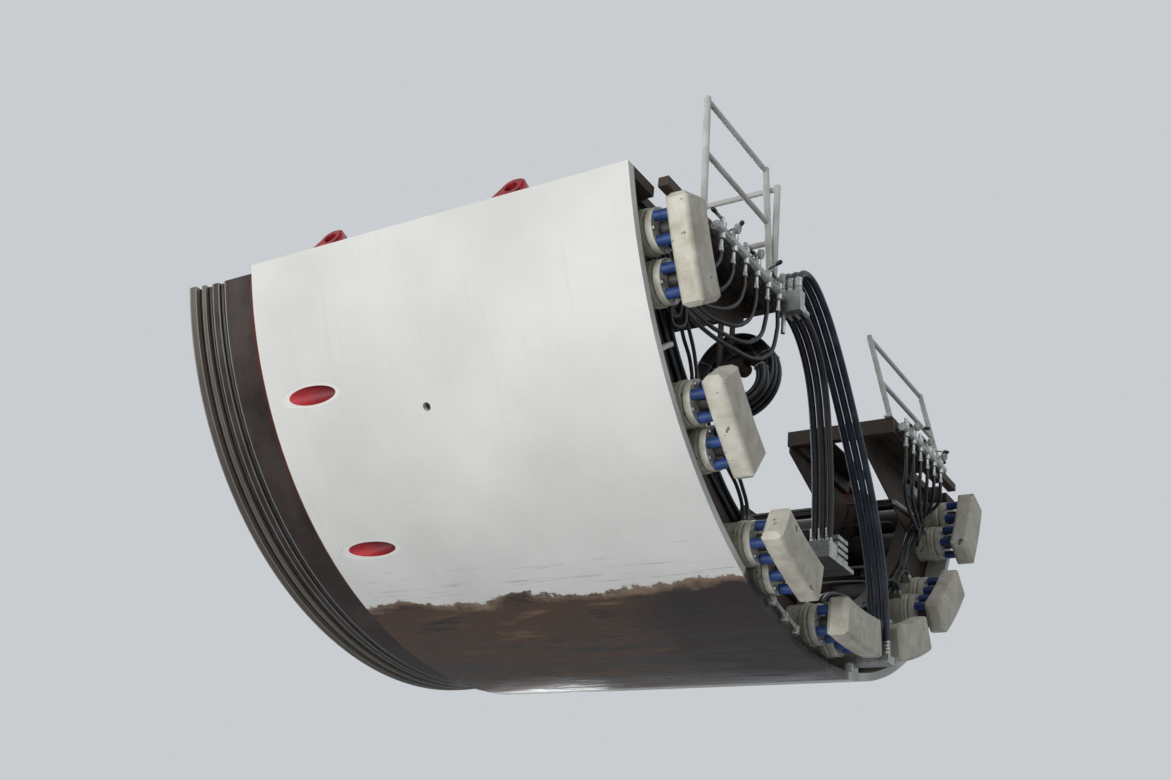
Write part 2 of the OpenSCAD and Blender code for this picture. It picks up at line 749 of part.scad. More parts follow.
// A shelf on the rear ring's inner edge carries the block that the near hoses end on and, beside
// it, a stack of valve blocks
manifold_w = 140;
manifold_h = 90;
shelf_w = 440;
shelf_t = 30;
shelf_foot = 80;
stack_edge = 70;
stack_core = [90, 100];
stack_block = [150, 180, 28];
stack_count = 4;
stack_pitch = 50;
stack_foot = 12;
module hose_manifold() {
    shelf_z = shelf_rise - ring_in_r;
    shelf_y0 = near_end[0] - manifold_w / 2;
    foot_x = rear_ring_x + (rear_ring_t - shelf_foot) / 2;
    stack_x = manifold_x0 + outlet_w / 2;
    stack_y = shelf_y0 + shelf_w - stack_edge - stack_block[1] / 2;
    color("silver") in_place() {
        intersection() {
            translate([foot_x, shelf_y0, -ring_in_r]) cube([shelf_foot, shelf_w, shelf_rise]);
            x_rod(rear_ring_x, rear_ring_t, ring_in_r - seat);
        }
        translate([foot_x, shelf_y0, shelf_z - shelf_t])
            cube([manifold_x0 + outlet_w - foot_x, shelf_w, shelf_t]);
        translate([manifold_x0, shelf_y0, shelf_z - 1]) cube([outlet_w, manifold_w, manifold_h + 1]);
        translate([stack_x - stack_core[0] / 2, stack_y - stack_core[1] / 2, shelf_z - 1])
            cube([stack_core[0], stack_core[1], stack_count * stack_pitch]);
        for (i = [0:stack_count - 1])
            translate([stack_x - stack_block[0] / 2, stack_y - stack_block[1] / 2,
                       shelf_z + stack_foot + i * stack_pitch]) cube(stack_block);
    }
}

// The bracket on the rear rim that the rim hoses end on, between two shoes
rim_block_w = 120;
rim_arm_t = 60;
module rim_block() {
    y0 = rim_end[0] - rim_block_w / 2;
    color("silver") in_place() intersection() {
        union() {
            translate([rear_ring_back, y0, -frame_r])
                cube([skin_l - rear_ring_back, rim_block_w, rim_block_h]);
            translate([rear_ring_back, y0, rim_block_h - rim_arm_t - frame_r])
                cube([outlet_x0 + outlet_w - rear_ring_back, rim_block_w, rim_arm_t]);
        }
        x_rod(rear_ring_back, skin_l, frame_r);
    }
}

// Coils of small hose that hang on the near platform's pegs: in each, the innermost turn rests on
// the peg and the others lie round it
module coils(x, drop, ys, turns) {
    pitch = loop_hose_d + seat;
    centre_z = deck_top - drop + peg_d / 2 + pitch - loop_hose_d / 2 - turns[0];
    for (y = ys, i = [0:turns[1] - 1]) translate([x, y, centre_z]) rotate([90, 0, 0])
        rotate_extrude() translate([turns[0] + i * pitch, 0]) circle(d = loop_hose_d, $fn = 24);
}

module hose_loops() {
    color("black") in_place() mirror([0, 1, 0]) {
        coils(peg_x, peg_drop, upper_coil_ys, upper_turns);
        coils(low_peg_x, low_peg_drop, lower_coil_ys, lower_turns);
    }
}

hose_sides = 8;
function unit(v) = v / norm(v);

// The hoses leave the outlet in a given direction and end pointing down
function route_way(pts, i, start) =
    i == 0 ? start : i == len(pts) - 1 ? [0, 0, -1] : unit(pts[i + 1] - pts[i - 1]);

// A tube swept along a route of [x, y, z] points that runs in planes across the shield
module hose(pts, start) {
    n = len(pts);
    ring_points = [for (i = [0:n - 1]) let (way = route_way(pts, i, start), across = unit(cross(way, [1, 0, 0])),
            up = cross(across, way)) for (j = [0:hose_sides - 1])
            let (a = j * 360 / hose_sides) pts[i] + hose_d / 2 * (cos(a) * across + sin(a) * up)];
    sides = [for (i = [0:n - 2], j = [0:hose_sides - 1])
        let (k = (j + 1) % hose_sides, p = i * hose_sides)
        [p + j, p + k, p + hose_sides + k, p + hose_sides + j]];
    cap0 = [for (j = [hose_sides - 1:-1:0]) j];
    cap1 = [for (j = [0:hose_sides - 1]) (n - 1) * hose_sides + j];
    polyhedron(ring_points, concat(sides, [cap0, cap1]));
}

function in_x(route, x0, x1) = [for (i = [0:len(route) - 1])
    [x0 + (x1 - x0) * i / (len(route) - 1), route[i][0], route[i][1]]];

module near_hose(i) {
    x = first_hose_x + i * hose_pitch;
    color("black") in_place() hose(in_x(near_route, x, x - near_hose_shift), [0, 1, 0]);
}

module rim_hose(i) {
    x = first_hose_x + i * hose_pitch;
    color("midnightblue") in_place() hose(in_x(rim_route, x, x), [0, 0, 1]);
}

skin_shell();
front_spigot();
front_ring_frame();
mid_ring_frame();
aft_ring_frame();
rear_ring_frame();
stringers();
joint_flanges();
drill_pipes();
lifting_lugs();
cylinder_barrels();
cylinder_heads();
rods(1);  // rods_1
rods(2);  // rods_2
rods(3);  // rods_3
rods(4);  // rods_4
rods(5);  // rods_5
rods(6);  // rods_6
rods(7);  // rods_7
spring_sleeves(1);  // spring_sleeves_1
spring_sleeves(2);  // spring_sleeves_2
spring_sleeves(3);  // spring_sleeves_3
spring_sleeves(4);  // spring_sleeves_4
spring_sleeves(5);  // spring_sleeves_5
spring_sleeves(6);  // spring_sleeves_6
spring_sleeves(7);  // spring_sleeves_7
shoe(1);  // shoe_1
shoe(2);  // shoe_2
shoe(3);  // shoe_3
shoe(4);  // shoe_4
shoe(5);  // shoe_5
shoe(6);  // shoe_6
shoe(7);  // shoe_7
platform_near();
platform_far();
rear_rail_near();
rear_rail_far();
inner_rail_near();
valve_bank_near();
valve_bank_far();
hose_manifold();
rim_block();
hose_loops();
near_hose(0);  // near_hose_1
near_hose(1);  // near_hose_2
near_hose(2);  // near_hose_3
rim_hose(0);  // rim_hose_1
rim_hose(1);  // rim_hose_2
rim_hose(2);  // rim_hose_3
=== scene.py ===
import math

import bpy
from mathutils import Matrix, Vector


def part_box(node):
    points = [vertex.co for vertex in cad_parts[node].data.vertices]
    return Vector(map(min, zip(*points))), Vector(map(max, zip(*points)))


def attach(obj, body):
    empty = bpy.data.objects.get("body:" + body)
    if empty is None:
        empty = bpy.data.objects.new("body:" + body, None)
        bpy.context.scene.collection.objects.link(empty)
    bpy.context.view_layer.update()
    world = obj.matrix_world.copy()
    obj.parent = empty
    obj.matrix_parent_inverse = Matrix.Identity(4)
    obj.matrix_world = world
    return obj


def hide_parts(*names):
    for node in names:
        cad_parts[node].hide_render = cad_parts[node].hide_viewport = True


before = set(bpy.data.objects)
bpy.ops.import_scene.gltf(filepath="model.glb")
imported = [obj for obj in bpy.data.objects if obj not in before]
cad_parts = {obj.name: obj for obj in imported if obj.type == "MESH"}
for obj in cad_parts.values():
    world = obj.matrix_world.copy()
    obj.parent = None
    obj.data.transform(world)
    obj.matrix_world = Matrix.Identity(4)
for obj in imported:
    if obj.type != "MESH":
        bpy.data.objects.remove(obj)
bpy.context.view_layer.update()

# Camera
# The viewer stands below the hanging segment, off its near rear side, and looks up at it. The
# frame is taken as 1171 x 780 pixels, and the segment fills most of it.
CAMERA_PLACE = (5.357, -8.383, -4.636)
CAMERA_TURN_DEG = (114.68, -5.32, 32.14)
CAMERA_LENS_MM = 40.57
SENSOR_WIDTH_MM = 36

camera_data = bpy.data.cameras.new("camera")
camera_data.sensor_width = SENSOR_WIDTH_MM
camera_data.lens = CAMERA_LENS_MM
camera = bpy.data.objects.new("camera", camera_data)
camera.location = CAMERA_PLACE
camera.rotation_euler = [math.radians(turn) for turn in CAMERA_TURN_DEG]
bpy.context.collection.objects.link(camera)
bpy.context.scene.camera = camera
bpy.context.scene.view_settings.view_transform = "Standard"

# Large hoses
# Six rubber hoses leave the near platform's outlet block. Three leave it level and drop to the
# manifold on the rear ring, three rise from its top and swing over to the bracket on the rear rim.
# Each is a smooth curve, with crimped steel couplings on both ends.
SHIELD_R = 3.135
SKIN_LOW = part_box("skin_shell")[0]
FRONT_X = SKIN_LOW.x
AXIS_Z = SKIN_LOW.z + SHIELD_R
HOSE_D = 0.050
HOSE_PITCH = 0.056
FIRST_HOSE_X = 3.215
NEAR_HOSE_SHIFT = 0.120
NEAR_ROUTE_MM = [
    (-1090, -930), (-1010, -934), (-920, -948), (-830, -975), (-745, -1015), (-665, -1070),
    (-590, -1140), (-520, -1230), (-460, -1340), (-408, -1470), (-362, -1610), (-322, -1760),
    (-290, -1910), (-265, -2060), (-248, -2200), (-242, -2317.5)]
RIM_ROUTE_MM = [
    (-1126, -819.65), (-1124, -755), (-1106, -695), (-1066, -648), (-1008, -618), (-938, -607),
    (-862, -616), (-780, -645), (-690, -695), (-595, -762), (-495, -850), (-385, -962),
    (-265, -1098), (-140, -1252), (-10, -1422), (120, -1600), (245, -1790), (355, -1990),
    (440, -2190), (500, -2400), (533, -2610), (545, -2780), (549, -2919)]
COUPLING_PROFILE = [
    (0.0, 0.0), (0.024, 0.0), (0.024, 0.036), (0.0262, 0.038), (0.0272, 0.042), (0.0272, 0.052),
    (0.0258, 0.055), (0.0258, 0.060), (0.0272, 0.063), (0.0272, 0.078), (0.0258, 0.081),
    (0.0258, 0.086), (0.0272, 0.089), (0.0272, 0.104), (0.0256, 0.108), (0.0, 0.108)]
COUPLING_NUT_R = 0.0298
COUPLING_NUT_H = 0.034
RUBBER_BLACK = "1A1B1D"
RUBBER_BLACK_WORN = "34353A"
RUBBER_BLUE = "1C2534"
RUBBER_BLUE_WORN = "3A4658"
ZINC_LIGHT = "C9CBC8"
ZINC_DARK = "8C8E8A"


def in_shield(x, y, z):
    """A point given from the shield's axis and the skin's front edge, in the part's frame."""
    return Vector((x + FRONT_X, y, z + AXIS_Z))


def linear(hex_colour, alpha=1.0):
    """An sRGB hex colour as linear red, green, blue and alpha."""
    parts = [int(hex_colour[i:i + 2], 16) / 255 for i in (0, 2, 4)]
    return [c / 12.92 if c <= 0.04045 else ((c + 0.055) / 1.055) ** 2.4 for c in parts] + [alpha]


def fill(tree, socket, value):
    """Gives an input its value, or links it to an output or to a node's first output in use."""
    if isinstance(value, bpy.types.Node):
        value = next(output for output in value.outputs if output.enabled)
    if isinstance(value, bpy.types.NodeSocket):
        tree.links.new(value, socket)
    else:
        socket.default_value = value


def add_node(tree, kind, inputs=None, stops=None, **settings):
    """Adds a node, sets its settings and ramp stops, and fills or links its inputs. A Mix node's
    inputs 6 and 7 are its two colours, and 2 and 3 its two numbers."""
    made = tree.nodes.new("ShaderNode" + kind)
    for name, value in settings.items():
        setattr(made, name, value)
    if stops:
        ramp = made.color_ramp.elements
        while len(ramp) < len(stops):
            ramp.new(1.0)
        for element, (place, colour) in zip(ramp, stops):
            element.position = place
            element.color = linear(colour) if isinstance(colour, str) else (colour,) * 3 + (1.0,)
    for name, value in (inputs or {}).items():
        fill(tree, made.inputs[name], value)
    return made


def new_material(name):
    """A plain material, as (material, tree)."""
    material = bpy.data.materials.new(name)
    material.use_nodes = True
    return material, material.node_tree


def set_shader(material, **values):
    """Fills or links the inputs of a material's shader, and returns the material."""
    tree = material.node_tree
    for name, value in values.items():
        fill(tree, tree.nodes["Principled BSDF"].inputs[name.replace("_", " ")], value)
    return material


def select_only(piece):
    """Makes the piece the one that operators act on."""
    bpy.ops.object.select_all(action="DESELECT")
    piece.select_set(True)
    bpy.context.view_layer.objects.active = piece


def turned_part(name, profile, steps):
    """A turned part: its profile of (radius, height) points is spun once round Z."""
    mesh = bpy.data.meshes.new(name)
    edges = [(i, i + 1) for i in range(len(profile) - 1)]
    mesh.from_pydata([(r, 0, z) for r, z in profile], edges, [])
    part = bpy.data.objects.new(name, mesh)
    bpy.context.collection.objects.link(part)
    select_only(part)
    bpy.ops.object.mode_set(mode="EDIT")
    bpy.ops.mesh.select_all(action="SELECT")
    bpy.ops.mesh.spin(steps=steps, angle=2 * math.pi, center=(0, 0, 0), axis=(0, 0, 1))
    bpy.ops.mesh.remove_doubles(threshold=0.00001)
    bpy.ops.mesh.normals_make_consistent(inside=False)
    bpy.ops.object.mode_set(mode="OBJECT")
    return part


def bevelled(name, edge, segments):
    """Names the primitive just added, applies its place and size, and bevels its edges."""
    part = bpy.context.object
    part.name = name
    bpy.ops.object.transform_apply()
    bpy.ops.object.mode_set(mode="EDIT")
    bpy.ops.mesh.select_all(action="SELECT")
    bpy.ops.mesh.bevel(offset=edge, segments=segments, affect="EDGES")
    bpy.ops.object.mode_set(mode="OBJECT")
    return part


def hex_part(name, radius, height, edge):
    """A six-sided nut or bolt head that stands on Z = 0, with bevelled edges."""
    bpy.ops.object.select_all(action="DESELECT")
    bpy.ops.mesh.primitive_cylinder_add(
        vertices=6, radius=radius, depth=height, location=(0, 0, height / 2))
    return bevelled(name, edge, 1)


def join_parts(name, parts):
    """Joins parts into one piece."""
    select_only(parts[0])
    for part in parts:
        part.select_set(True)
    if len(parts) > 1:
        bpy.ops.object.join()
    piece = parts[0]
    piece.name = name
    piece.data.name = name
    return piece


def copies(name, master, places):
    """One piece made of a copy of the master at each place, each copy with its own mesh."""
    made = []
    for place in places:
        copy = master.copy()
        copy.data = master.data.copy()
        copy.data.transform(place)
        bpy.context.collection.objects.link(copy)
        made.append(copy)
    bpy.data.objects.remove(master)
    return join_parts(name, made)


def dress(piece, material, body="shield"):
    """Gives a piece its finish and lets it ride on its body."""
    piece.data.materials.clear()
    piece.data.materials.append(material)
    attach(piece, body)
    return piece


def smooth(piece, angle_deg=35):
    """Shades a piece smooth except over its sharp edges."""
    select_only(piece)
    bpy.ops.object.shade_smooth_by_angle(angle=math.radians(angle_deg))


def pointing(place, direction):
    """The matrix that stands a part on a place with its Z along a direction."""
    turn = Vector(direction).to_track_quat("Z", "Y").to_matrix().to_4x4()
    return Matrix.Translation(place) @ turn


def rubber(name, base, worn):
    """Extruded rubber hose cover: satin, with dusty wear in patches of a hand's width."""
    material, tree = new_material(name)
    place = add_node(tree, "TexCoord").outputs["Object"]
    patches = add_node(tree, "TexNoise", {
        "Vector": place, "Scale": 9.0, "Detail": 5.0, "Roughness": 0.6})
    colour = add_node(tree, "ValToRGB", {0: patches}, stops=[(0.42, base), (0.75, worn)])
    gloss = add_node(tree, "MapRange", {"Value": patches, "To Min": 0.22, "To Max": 0.5})
    cloth_marks = add_node(tree, "TexNoise", {"Vector": place, "Scale": 160.0, "Detail": 3.0})
    bump = add_node(tree, "Bump", {"Height": cloth_marks, "Strength": 0.25, "Distance": 0.002})
    return set_shader(material, Base_Color=colour, Roughness=gloss, Normal=bump,
                      Specular_IOR_Level=0.5)


def zinc_plated(name, light, dark):
    """Zinc plated steel fittings: spangled grey, dull in the hollows and bright on the rims."""
    material, tree = new_material(name)
    place = add_node(tree, "TexCoord").outputs["Object"]
    spangle = add_node(tree, "TexVoronoi", {"Vector": place, "Scale": 90.0})
    stain = add_node(tree, "TexNoise", {"Vector": place, "Scale": 14.0, "Detail": 4.0})
    blend = add_node(tree, "Math", {0: spangle, 1: stain}, operation="MULTIPLY")
    colour = add_node(tree, "ValToRGB", {0: blend}, stops=[(0.05, light), (0.5, dark)])
    gloss = add_node(tree, "MapRange", {"Value": stain, "To Min": 0.28, "To Max": 0.5})
    return set_shader(material, Base_Color=colour, Roughness=gloss, Metallic=0.85)


def make_hose(name, route, x_start, x_end, start_way, material):
    """A hose on its route, with a coupling at each end, that stands for its CAD tube."""
    last = len(route) - 1
    points = [in_shield(x_start + (x_end - x_start) * i / last, y / 1000, z / 1000)
              for i, (y, z) in enumerate(route)]
    curve = bpy.data.curves.new(name + "_cover", "CURVE")
    curve.dimensions = "3D"
    curve.bevel_depth = HOSE_D / 2
    curve.bevel_resolution = 6
    curve.resolution_u = 8
    curve.use_fill_caps = True
    spline = curve.splines.new("BEZIER")
    spline.bezier_points.add(last)
    for knot, point in zip(spline.bezier_points, points):
        knot.co = point
        knot.handle_left_type = knot.handle_right_type = "AUTO"
    hose = bpy.data.objects.new(name + "_cover", curve)
    bpy.context.collection.objects.link(hose)
    dress(hose, material)
    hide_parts(name)
    coupling = join_parts(name + "_coupling", [
        turned_part("ferrule", COUPLING_PROFILE, steps=24),
        hex_part("nut", COUPLING_NUT_R, COUPLING_NUT_H, edge=0.002)])
    ends = copies(name + "_couplings", coupling, [
        pointing(points[0], start_way), pointing(points[-1], (0, 0, 1))])
    smooth(ends)
    dress(ends, ZINC)


ZINC = zinc_plated("zinc plated steel", ZINC_LIGHT, ZINC_DARK)
HOSE_BLACK = rubber("black hose rubber", RUBBER_BLACK, RUBBER_BLACK_WORN)
HOSE_BLUE = rubber("blue-black hose rubber", RUBBER_BLUE, RUBBER_BLUE_WORN)
for i in range(3):
    hose_x = FIRST_HOSE_X + i * HOSE_PITCH
    make_hose(f"near_hose_{i + 1}", NEAR_ROUTE_MM, hose_x, hose_x - NEAR_HOSE_SHIFT, (0, 1, 0),
              HOSE_BLACK)
    make_hose(f"rim_hose_{i + 1}", RIM_ROUTE_MM, hose_x, hose_x, (0, 0, 1), HOSE_BLUE)

# Shield skin
# Rolled and welded steel plate in sprayed white two-pack paint, streaked by the ground. Wet mud
# cakes the belly from a ragged, crusted line on the near side to just past the bottom on the far
# side, and painted shade makes it darker and bluer to the rear.
PAINT_WHITE = "E3E2DD"
PAINT_SHADE = "D6D5D0"
PAINT_SCUFF = "A5A199"
PAINT_DRIP = "B9B7B0"
MUD_DARK = "221710"
MUD_MID = "4B3423"
MUD_WET_TAN = "7D6248"
MUD_SHADE_DARK = "1B161A"
MUD_DRY = "8A7460"
MUD_NEAR_DEG = 24.3
MUD_FAR_DEG = 8.0
MUD_WAVE_DEG = 4.6
MUD_CHIP_DEG = 1.1
MUD_EDGE_DEG = 0.12
MUD_SHADE_X = (1.35, 1.95)
CRUST_DEG = 3.2
STREAK_BAND_DEG = 9.0


def shield_places(tree):
    """Length along the shield, angle from the bottom, distance from its axis, and the surface
    unrolled flat."""
    place = add_node(tree, "TexCoord").outputs["Object"]
    parts = add_node(tree, "SeparateXYZ", {0: place})
    down = add_node(tree, "Math", {0: AXIS_Z, 1: parts.outputs["Z"]}, operation="SUBTRACT")
    angle = add_node(tree, "Math", {0: parts.outputs["Y"], 1: down}, operation="ARCTAN2")
    degrees = add_node(tree, "Math", {0: angle}, operation="DEGREES")
    flat = add_node(tree, "CombineXYZ", {"X": parts.outputs["Y"], "Y": down})
    radius = add_node(tree, "VectorMath", {0: flat}, operation="LENGTH")
    arc = add_node(tree, "Math", {0: angle, 1: SHIELD_R}, operation="MULTIPLY")
    unrolled = add_node(tree, "CombineXYZ", {"X": parts.outputs["X"], "Y": arc})
    return {"x": parts.outputs["X"], "degrees": degrees, "radius": radius, "unrolled": unrolled}


def skin_paint():
    """Sprayed white two-pack paint over steel plate, with mud below a ragged line."""
    material, tree = new_material("white two-pack paint and mud")
    at = shield_places(tree)
    stretched = add_node(tree, "Mapping", {"Vector": at["unrolled"], "Scale": (0.35, 9.0, 1.0)})
    streaks = add_node(tree, "TexNoise", {
        "Vector": stretched, "Scale": 3.0, "Detail": 8.0, "Roughness": 0.65})
    clouds = add_node(tree, "TexNoise", {
        "Vector": at["unrolled"], "Scale": 0.8, "Detail": 5.0, "Roughness": 0.55})
    paint = add_node(tree, "ValToRGB", {0: clouds},
                     stops=[(0.35, PAINT_SHADE), (0.62, PAINT_WHITE)])
    wave = add_node(tree, "TexNoise", {
        "Vector": at["unrolled"], "Scale": 1.3, "Detail": 3.0, "Roughness": 0.5})
    chips = add_node(tree, "TexNoise", {
        "Vector": at["unrolled"], "Scale": 14.0, "Detail": 6.0, "Roughness": 0.7})
    waved = add_node(tree, "MapRange", {
        "Value": wave, "From Min": 0.25, "From Max": 0.75,
        "To Min": MUD_NEAR_DEG - MUD_WAVE_DEG / 2, "To Max": MUD_NEAR_DEG + MUD_WAVE_DEG / 2})
    chipped = add_node(tree, "MapRange", {
        "Value": chips, "From Min": 0.3, "From Max": 0.7,
        "To Min": -MUD_CHIP_DEG / 2, "To Max": MUD_CHIP_DEG / 2})
    line = add_node(tree, "Math", {0: waved, 1: chipped}, operation="ADD")
    below_near = add_node(tree, "Math", {0: at["degrees"], 1: line}, operation="ADD")
    far_line = add_node(tree, "Math", {0: chipped, 1: 0.4, 2: MUD_FAR_DEG},
                        operation="MULTIPLY_ADD")
    over_far = add_node(tree, "Math", {0: at["degrees"], 1: far_line}, operation="SUBTRACT")
    over_near = add_node(tree, "Math", {0: below_near, 1: -1.0}, operation="MULTIPLY")
    over_line = add_node(tree, "Math", {0: over_near, 1: over_far}, operation="MAXIMUM")
    mud_mask = add_node(tree, "MapRange", {
        "Value": over_line, "From Min": MUD_EDGE_DEG, "From Max": -MUD_EDGE_DEG})
    near_line = add_node(tree, "MapRange", {
        "Value": over_line, "From Min": STREAK_BAND_DEG, "From Max": 0.0})
    scuff_level = add_node(tree, "MapRange", {"Value": near_line, "To Min": 0.66, "To Max": 0.53})
    scuffs = add_node(tree, "Math", {0: streaks, 1: scuff_level}, operation="SUBTRACT")
    scuff_mask = add_node(tree, "MapRange", {
        "Value": scuffs, "From Min": 0.0, "From Max": 0.09, "To Max": 0.75})
    fall = add_node(tree, "Mapping", {"Vector": at["unrolled"], "Scale": (11.0, 0.5, 1.0)})
    drips = add_node(tree, "TexNoise", {
        "Vector": fall, "Scale": 1.6, "Detail": 5.0, "Roughness": 0.5})
    drip_mask = add_node(tree, "MapRange", {
        "Value": drips, "From Min": 0.6, "From Max": 0.78, "To Max": 0.16})
    dripped = add_node(tree, "Mix", {
        0: drip_mask, 6: paint, 7: linear(PAINT_DRIP)}, data_type="RGBA")
    scuffed = add_node(tree, "Mix", {
        0: scuff_mask, 6: dripped, 7: linear(PAINT_SCUFF)}, data_type="RGBA")
    smears = add_node(tree, "Mapping", {
        "Vector": at["unrolled"], "Rotation": (0.0, 0.0, 0.22), "Scale": (0.9, 4.5, 1.0)})
    smear = add_node(tree, "TexNoise", {
        "Vector": smears, "Scale": 1.1, "Detail": 7.0, "Roughness": 0.6, "Distortion": 0.8})
    thick = add_node(tree, "Math", {0: streaks, 1: 0.45, 2: smear}, operation="MULTIPLY_ADD")
    caked = add_node(tree, "ValToRGB", {0: thick}, stops=[
        (0.58, MUD_DARK), (0.70, MUD_MID), (0.80, MUD_MID), (0.92, MUD_WET_TAN)])
    # Painted shade: the mud turns darker and bluer towards the rear.
    rearward = add_node(tree, "Math", {0: wave, 1: 1.4, 2: at["x"]}, operation="MULTIPLY_ADD")
    rear_shade_mask = add_node(tree, "MapRange", {
        "Value": rearward, "From Min": MUD_SHADE_X[0],
        "From Max": MUD_SHADE_X[1], "To Max": 0.75})
    mud = add_node(tree, "Mix", {0: rear_shade_mask, 6: caked, 7: linear(MUD_SHADE_DARK)}, data_type="RGBA")
    crust = add_node(tree, "MapRange", {
        "Value": over_line, "From Min": -CRUST_DEG, "From Max": 0.0, "To Max": 0.8})
    crust_patches = add_node(tree, "Math", {0: crust, 1: smear}, operation="MULTIPLY")
    crust_mask = add_node(tree, "MapRange", {
        "Value": crust_patches, "From Min": 0.22, "From Max": 0.42})
    crusted = add_node(tree, "Mix", {0: crust_mask, 6: mud, 7: linear(MUD_DRY)}, data_type="RGBA")
    colour = add_node(tree, "Mix", {0: mud_mask, 6: scuffed, 7: crusted}, data_type="RGBA")
    wet = add_node(tree, "MapRange", {
        "Value": thick, "From Min": 0.6, "From Max": 1.0, "To Min": 0.22, "To Max": 0.6})
    dry = add_node(tree, "MapRange", {"Value": clouds, "To Min": 0.38, "To Max": 0.55})
    gloss = add_node(tree, "Mix", {0: mud_mask, 2: dry, 3: wet})
    cake = add_node(tree, "Math", {0: mud_mask, 1: chips}, operation="MULTIPLY")
    relief = add_node(tree, "Math", {0: cake, 1: mud_mask}, operation="ADD")
    ripple = add_node(tree, "Math", {0: clouds, 1: 0.6, 2: relief}, operation="MULTIPLY_ADD")
    bump = add_node(tree, "Bump", {"Height": ripple, "Strength": 0.5, "Distance": 0.008})
    return set_shader(material, Base_Color=colour, Roughness=gloss, Normal=bump)


def paint_nodes(material, *names):
    """Gives CAD nodes that keep their shape a finish."""
    for name in names:
        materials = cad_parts[name].data.materials
        materials.clear()
        materials.append(material)


paint_nodes(skin_paint(), "skin_shell")

# Front spigot
# Turned steel that slides in the machine's front shield: proud rims and seal grooves, oiled and
# stained brown, the proud rims worn a little bright, painted highlights on each lip, and a
# red-brown edge of primer left beside the skin.
STEEL_BRIGHT = "B5ADA2"
STEEL_STAINED = "4E4440"
STEEL_BROWN = "362D28"
PRIMER_EDGE = "6B2F24"
SPIGOT_R = SHIELD_R - 0.085
SPIGOT_L = 0.700
PROUD_R = SPIGOT_R + 0.004
GROOVE_R = SPIGOT_R - 0.012
STEEL_FADE = 0.006
PRIMER_EDGE_W = 0.096
LIP_W = 0.010
LIPS = [0.0, 0.060, 0.115, 0.145, 0.210, 0.270, 0.335]


def machined_steel():
    """Turned steel under oil: tool rings, darker grooves, bright rims, painted lip highlights."""
    material, tree = new_material("turned steel, oiled")
    at = shield_places(tree)
    turned = add_node(tree, "Mapping", {"Vector": at["unrolled"], "Scale": (60.0, 0.12, 1.0)})
    rings = add_node(tree, "TexNoise", {
        "Vector": turned, "Scale": 2.0, "Detail": 2.0, "Roughness": 0.5})
    stains = add_node(tree, "TexNoise", {
        "Vector": at["unrolled"], "Scale": 2.2, "Detail": 7.0, "Roughness": 0.65})
    mottle = add_node(tree, "Math", {0: rings, 1: 0.12, 2: stains}, operation="MULTIPLY_ADD")
    steel = add_node(tree, "ValToRGB", {0: mottle}, stops=[
        (0.42, STEEL_BROWN), (0.66, STEEL_STAINED)])
    proud = add_node(tree, "MapRange", {
        "Value": at["radius"], "From Min": PROUD_R, "From Max": PROUD_R + STEEL_FADE,
        "To Max": 0.2})
    along = add_node(tree, "MapRange", {
        "Value": at["x"], "From Min": FRONT_X - SPIGOT_L, "From Max": FRONT_X})
    # Painted highlights: bright bands at the lip of each turned step.
    lip_highlights = add_node(tree, "ValToRGB", {0: along}, stops=[
        stop for lip in LIPS for stop in ((lip / SPIGOT_L, 0.6), ((lip + LIP_W) / SPIGOT_L, 0.0))])
    lip_highlights.color_ramp.interpolation = "CONSTANT"
    bright = add_node(tree, "Math", {0: proud, 1: lip_highlights}, operation="MAXIMUM")
    rubbed_and_highlit = add_node(tree, "Mix", {
        0: bright, 6: steel, 7: linear(STEEL_BRIGHT)}, data_type="RGBA")
    # Darker in the grooves.
    groove = add_node(tree, "MapRange", {
        "Value": at["radius"], "From Min": GROOVE_R + STEEL_FADE, "From Max": GROOVE_R,
        "To Max": 0.75})
    darker_in_grooves = add_node(tree, "Mix", {
        0: groove, 6: rubbed_and_highlit, 7: linear(STEEL_BROWN)}, data_type="RGBA")
    edge = add_node(tree, "Math", {0: stains, 1: 0.03, 2: at["x"]}, operation="MULTIPLY_ADD")
    primer = add_node(tree, "MapRange", {
        "Value": edge, "From Min": FRONT_X - PRIMER_EDGE_W,
        "From Max": FRONT_X - PRIMER_EDGE_W + STEEL_FADE, "To Max": 0.85})
    colour = add_node(tree, "Mix", {
        0: primer, 6: darker_in_grooves, 7: linear(PRIMER_EDGE)}, data_type="RGBA")
    gloss = add_node(tree, "MapRange", {"Value": stains, "To Min": 0.3, "To Max": 0.62})
    bump = add_node(tree, "Bump", {"Height": rings, "Strength": 0.06, "Distance": 0.001})
    return set_shader(material, Base_Color=colour, Roughness=gloss, Normal=bump, Metallic=0.6)


paint_nodes(machined_steel(), "front_spigot")

# Ring frames, stringers and joint flanges
# Flame-cut plate welded into the skin, in dark red-brown primer that has gone dull and dusty.


